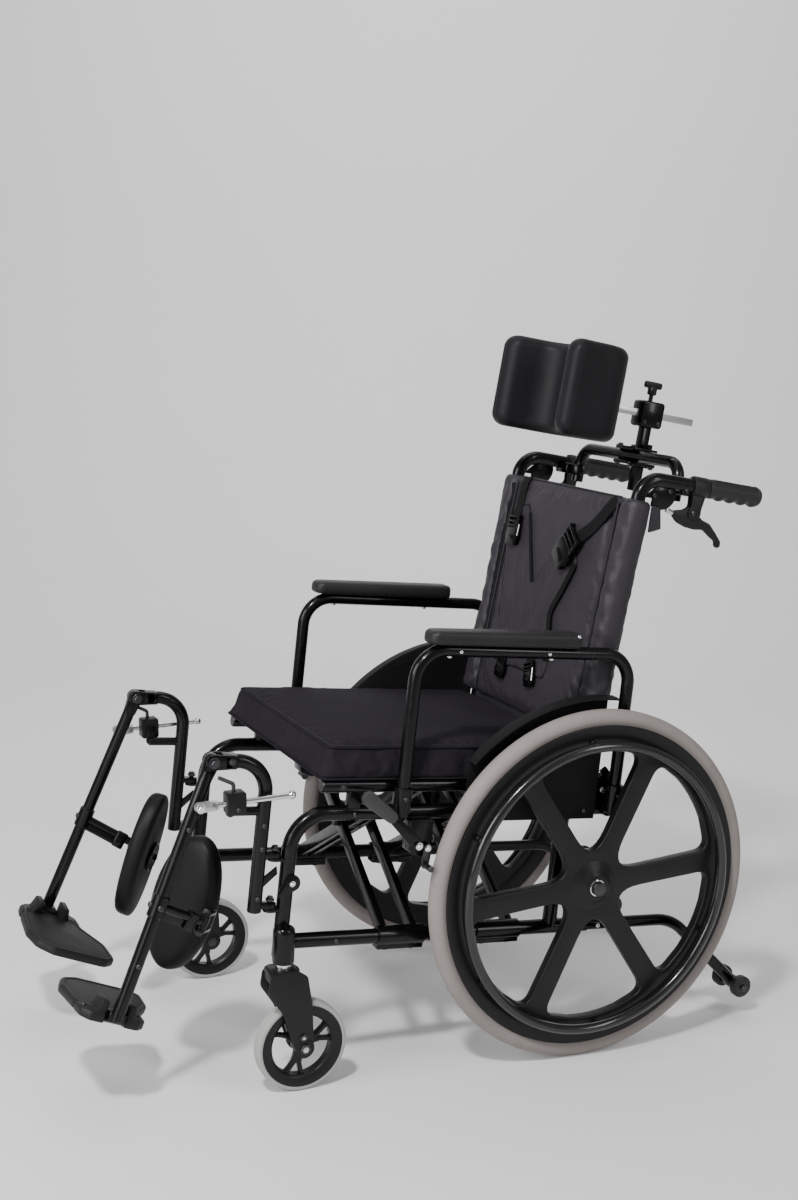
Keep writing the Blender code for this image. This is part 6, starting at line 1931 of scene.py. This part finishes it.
def heads(name, shape, spots, look, place):
    """One mesh of heads: spots are (point, aim, size) in the given place."""
    mesh = bpy.data.meshes.new(name)
    mesh.from_pydata([tuple(place @ Vector(point)) for point, _, _ in spots], [], [])
    mesh.attributes.new("aim", "FLOAT_VECTOR", "POINT")
    mesh.attributes.new("size", "FLOAT", "POINT")
    turn = place.to_3x3()
    for i, (_, aim, size) in enumerate(spots):
        mesh.attributes["aim"].data[i].vector = (turn @ Vector(aim)).normalized()
        mesh.attributes["size"].data[i].value = size
    made = grown(mesh, HEADS, {"Shape": SHAPES[shape], "Finish": look})
    for layer in ("aim", "size"):
        if layer in made.attributes:
            made.attributes.remove(made.attributes[layer])
    return settle(made, name, look)


def paired_heads(name, shape, spots, look, body, slot="chrome", place=TILT):
    """Heads on the left and their mirror image, each on the body of its own side."""
    left = heads(name + "_left", shape, spots, look, place)
    right = mirrored(left, name + "_right")
    for thing, (side, _) in zip((left, right), SIDES):
        carry(thing, body + "_" + side, slot)


print("head shapes:", ", ".join(SHAPES))

# %% Screws and bolts of the frame
OUT = (1, 0, 0)
IN = (-1, 0, 0)
UP = (0, 0, 1)
DOWN = (0, 0, -1)
plate_face = plate_in + 0.0065
ear_face = ear_in + 0.006
tube_face = SIDE_X + TUBE_R
frame_spots = [((plate_face, y, z), OUT, 0.0052) for y in (-0.038, 0.014) for z in (-0.040, 0.040)]
frame_spots += [((GUARD_X + 0.003, y, 0.118), OUT, 0.0050) for y in (-0.205, -0.100, -0.010)]
frame_spots += [((tube_face, y, LOW_Z), OUT, 0.0042) for y in (-0.440, 0.020)]
frame_spots += [((tube_face, y, HIGH_Z), OUT, 0.0042) for y in SEAT_STOPS]
frame_spots += [((ARM_X + 0.0155, y, 0.148), OUT, 0.0045) for y in (ARM_FRONT_Y, ARM_REAR_Y)]
paired_heads("frame_screws", "dome", frame_spots, STEEL, "frame")
frame_bolts = [((ear_face, HINGE_Y, HINGE_Z), OUT, 0.0070), ((ear_face, 0.036, HINGE_Z), OUT, 0.0050),
               ((ear_face, 0.022, 0.178), OUT, 0.0045),
               ((tube_face + 0.006, FRONT_Y + 0.004, 0.006), OUT, 0.0038),
               ((BRAKE_X + 0.0070, *BRAKE_PIVOT), OUT, 0.0050),
               ((BRAKE_X + 0.0072, *SHOE_PIVOT), OUT, 0.0042)]
paired_heads("frame_bolts", "hexagon", frame_bolts, CHROME, "frame")
pin_heads = [((SIDE_X, SWING_Y, z + 0.0145), UP, 0.0055) for z in PIN_LEVELS]
paired_heads("swing_pin_heads", "hexagon", pin_heads, STEEL, "frame")
brace_spots = []
for y in BRACE_Y:
    brace_spots += [((SIDE_X - 0.003, y + step, LOW_Z - 0.0205), DOWN,
                     0.0052) for step in (-0.024, 0.024)]
brace_spots += [((0, y - 0.0385, FOLD_MID_Z), FACE, 0.0062) for y in BRACE_Y]
brace_spots += [((-SIDE_X - 0.0112, y, RAIL_Z), IN, 0.0045) for y in (-0.455, -0.340, -0.225, -0.110)]
paired_heads("brace_bolts", "hexagon", brace_spots, STEEL, "brace")
print("frame screws", len(frame_spots), "and bolts", len(frame_bolts), "a side")

# %% Screws of the arms, posts and headrest
arm_spots = [((ARM_X + 0.0106, y, ARM_Z - 0.001), OUT, 0.0034) for y in (-0.285, -0.120)]
arm_spots += [((ARM_X, y, ARM_Z - 0.0108), DOWN, 0.0045) for y in (-0.300, -0.110)]
arm_spots += [((ARM_X + 0.0205, pad_mid + 0.1290, pad_low + 0.0210), (0.9, 0.2, 0.6), 0.0034)]
paired_heads("armrest_screws", "dome", arm_spots, CHROME, "armrest")
post_spots = [((POST_X + 0.0031, 0.030, 0.517), OUT, 0.0046),
              ((POST_X + 0.0031, 0.060, 0.528), OUT, 0.0046),
              ((POST_X + 0.0080, TRIGGER_B, TRIGGER_U), OUT, 0.0046),
              ((POST_X + 0.0085, BAR_B - 0.015, RING_U), OUT, 0.0044)]
paired_heads("post_bolts", "dome", post_spots, STEEL, "back", "chrome", POST)
bar_spots = [((x, BAR_B - 0.010, BAR_U + 0.0164), UP, 0.0050) for x in (-0.022, 0.022)]
for x in (-0.022, 0.022):
    bar_spots += [((x, BAR_B + y, BAR_U - 0.0164), DOWN, 0.0050) for y in (-0.010, 0.034)]
carry(heads("headrest_plate_bolts", "hexagon", bar_spots, STEEL, POST), "headrest_bar", "chrome")
block_spots = [((0.0170, STEM_B + y, STEM_TOP - 0.015), OUT, 0.0042) for y in (-0.015, 0.015)]
carry(heads("headrest_block_screws", "dome", block_spots, STEEL, POST), "headrest_stem", "chrome")
print("arm, post and headrest screws")

# %% Screws of the legrests and anti-tip tubes
hanger_spots = [((SIDE_X + 0.0150, PIVOT_Y, PIVOT_Z), OUT, 0.0068),
                ((SIDE_X - 0.0150, PIVOT_Y, PIVOT_Z), IN, 0.0068),
                ((SIDE_X + 0.0125, PIVOT_Y + 0.029, PIVOT_Z + 0.001), OUT, 0.0044)]
paired_heads("hanger_bolts", "hexagon", hanger_spots, STEEL, "hanger")
hanger_rivets = [((SIDE_X + 0.0114, HANGER_Y, z), OUT, 0.0042) for z in (0.100, 0.062, -0.020)]
paired_heads("hanger_rivets", "dome", hanger_rivets, STEEL, "hanger")
clamp_spots = [((ROD_X + 0.0095, 0.002, -0.010), OUT, 0.0040)]
paired_heads("clamp_screws", "dome", clamp_spots, STEEL, "leg_clamp", "chrome", TILT @ clamp_place)
leg_spots = [((0.0104, 0, -0.110), OUT, 0.0042), ((0.0104, 0, -0.330), OUT, 0.0042),
             ((0.0134, 0, -CALF_DOWN), OUT, 0.0050), ((0.0, -0.0134, -CALF_DOWN), FACE, 0.0050)]
paired_heads("leg_screws", "dome", leg_spots, STEEL, "leg", "chrome", LEG)
stud_spots = [((0.0320, 0, -ROD_ARM), OUT, 0.0058)]
paired_heads("leg_stud_nuts", "hexagon", stud_spots, CHROME, "leg", "chrome", LEG @ unsplay)
calf_spots = [((0, 0, 0.0172), UP, 0.0060), ((0, 0, -0.0172), DOWN, 0.0060),
              ((*CALF_ARM, 0.0188), UP, 0.0048)]
paired_heads("calf_bolts", "hexagon", calf_spots, STEEL, "calf", "chrome", calf_place)
foot_spots = [((-0.0185, y, 0.0044), UP, 0.0046) for y in (-0.045, 0.045)]
paired_heads("foot_screws", "dome", foot_spots, STEEL, "foot", "chrome", foot_place)
anti_spots = [((SIDE_X + 0.0355, *ANTI_END), OUT, 0.0066), ((SIDE_X - 0.0355, *ANTI_END), IN, 0.0066)]
paired_heads("anti_tip_bolts", "hexagon", anti_spots, STEEL, "anti_tip_wheel")
lock_spots = [((SIDE_X + 0.0104, 0.060, LOW_Z), OUT, 0.0042)]
paired_heads("anti_tip_lock", "dome", lock_spots, CHROME, "anti_tip")
print("legrest and anti-tip screws")

# %% Knurls
KNURL_ROWS = 34
knurls = []
for i in range(KNURL_ROWS):
    share = 0.10 + 0.82 * i / (KNURL_ROWS - 1)
    for k in range(15):
        angle = math.radians(22 + 136 * (k + 0.5 * (i % 2)) / 15)
        knurls.append((on_grip(share, angle), (math.cos(angle), 0, math.sin(angle)), 0.0013))
paired_heads("grip_knurls", "pip", knurls, PUSH, "back", "rubber", POST)
print("knurls", len(knurls), "a side")


# %% Stitches
def stitched(name, lines, place):
    """Thread along lines of points."""
    points = []
    edges = []
    for line in lines:
        first = len(points)
        points += [tuple(place @ Vector(p)) for p in line]
        edges += [(first + k, first + k + 1) for k in range(len(line) - 1)]
    mesh = bpy.data.meshes.new(name)
    mesh.from_pydata(points, edges, [])
    made = grown(mesh, STITCHES, {"Shape": SHAPES["stitch"], "Pitch": 0.0055, "Finish": THREAD})
    return settle(made, name, THREAD)


on_seat(stitched("seat_stitches", [dense(seat_ring(1.012, 0.0200, 8), 0.006, True)], TILT))
inner_vest = [(x, VEST_FRONT - 0.0003, u) for x, u in inset(vest_edge, 0.0065)]
lines = [inner_vest + inner_vest[:1]]
for x in (INNER_X - 0.003, 0.003 - INNER_X):
    lines.append([(x, PANEL_FRONT - 0.0006, u) for u in (BACK_LOW + 0.02, BACK_HIGH - 0.02)])
for x in (ZIP_X - 0.0035, ZIP_X + 0.0035):
    lines.append([(x, PANEL_FRONT - 0.0030, u) for u in (0.485, 0.195)])
on_back(stitched("back_stitches", lines, POST))
for shape in SHAPES.values():
    bpy.data.objects.remove(shape, do_unlink=True)
print("stitches along", len(lines) + 1, "lines")

# %% [markdown]
# ## Backdrop and light
# A pale paper sweep turns up behind the chair, so that floor and wall meet without a line. A
# broad soft key comes from the upper left, a strip draws highlights along the gloss tubes, and
# a grey world fills the shadows.

# %% Stage
SWEEP_START = -4.0
SWEEP_TURN = 2.6
SWEEP_ROUND = 1.8
SWEEP_HALF = 6
away = Vector((-behind.x, -behind.y, 0)).normalized()
sideways = Vector((-away.y, away.x, 0)) * SWEEP_HALF
profile = [(SWEEP_START, 0.0), (-1.5, 0.0), (0.5, 0.0), (SWEEP_TURN, 0.0)]
for k in range(1, 17):
    turn = math.radians(90 * k / 16)
    profile.append((SWEEP_TURN + SWEEP_ROUND * math.sin(turn), SWEEP_ROUND * (1 - math.cos(turn))))
profile.append((SWEEP_TURN + SWEEP_ROUND, 5.0))
rings = []
for along, high in profile:
    spot = away * along + Vector((0, 0, high))
    under = spot + (Vector((0, 0, -0.01)) if high < 0.5 else away * 0.01)
    rings.append([spot - sideways, spot + sideways, under + sideways, under - sideways])


def paper(graph):
    """Matt paper, a little cloudy."""
    cloud = graph.noise(0.9, 3.0)
    grain = graph.noise(90.0, 2.0)
    colour = graph.tone(cloud, (0.700, 0.694, 0.692), (0.740, 0.734, 0.732))
    return {"Base Color": colour, "Emission Color": colour, "Roughness": 0.72 + cloud * 0.15,
            "height": (grain, 0.03, 0.001)}


PAPER = finish("pale_paper", paper, Emission_Strength=0.07)
Shell().skin(rings).thing("floor", PAPER, Matrix(), 80)
print("sweep of", len(profile), "steps")

# %% Light
world = bpy.data.worlds.new("studio")
world.use_nodes = True
background = world.node_tree.nodes["Background"]
background.inputs["Color"].default_value = (0.62, 0.61, 0.61, 1)
background.inputs["Strength"].default_value = 0.46
bpy.context.scene.world = world


def lamp(name, spot, aim, size, size_y, power):
    """A rectangle of light at a spot, turned to face the aim."""
    data = bpy.data.lights.new(name, "AREA")
    data.shape = "RECTANGLE"
    data.size = size
    data.size_y = size_y
    data.energy = power
    light = put(bpy.data.objects.new(name, data))
    light.location = spot
    light.rotation_euler = (Vector(aim) - Vector(spot)).to_track_quat("-Z", "Y").to_euler()


lamp("key", (0.8, -3.35, 2.1), (0, 0, 0.5), 2.0, 1.6, 88)
lamp("strip", (3.0, 1.9, 2.4), (0, 0, 0.5), 0.5, 2.6, 34)
lamp("top", (-0.2, -0.1, 4.0), (0, 0, 0.5), 2.6, 2.6, 16)
lamp("overhead", (1.60, -1.66, 3.2), (0.10, -0.50, 0), 0.30, 0.30, 112)
lamp("low_fill", (1.6, -2.9, 0.9), (0, 0, 0.6), 1.6, 1.0, 16)
lamp("wall", away * 1.4 + Vector((0, 0, 3.6)), away * 4.2 + Vector((0, 0, 1.6)), 3.0, 1.0, 100)
print("stage and", len(bpy.data.lights), "lamps")
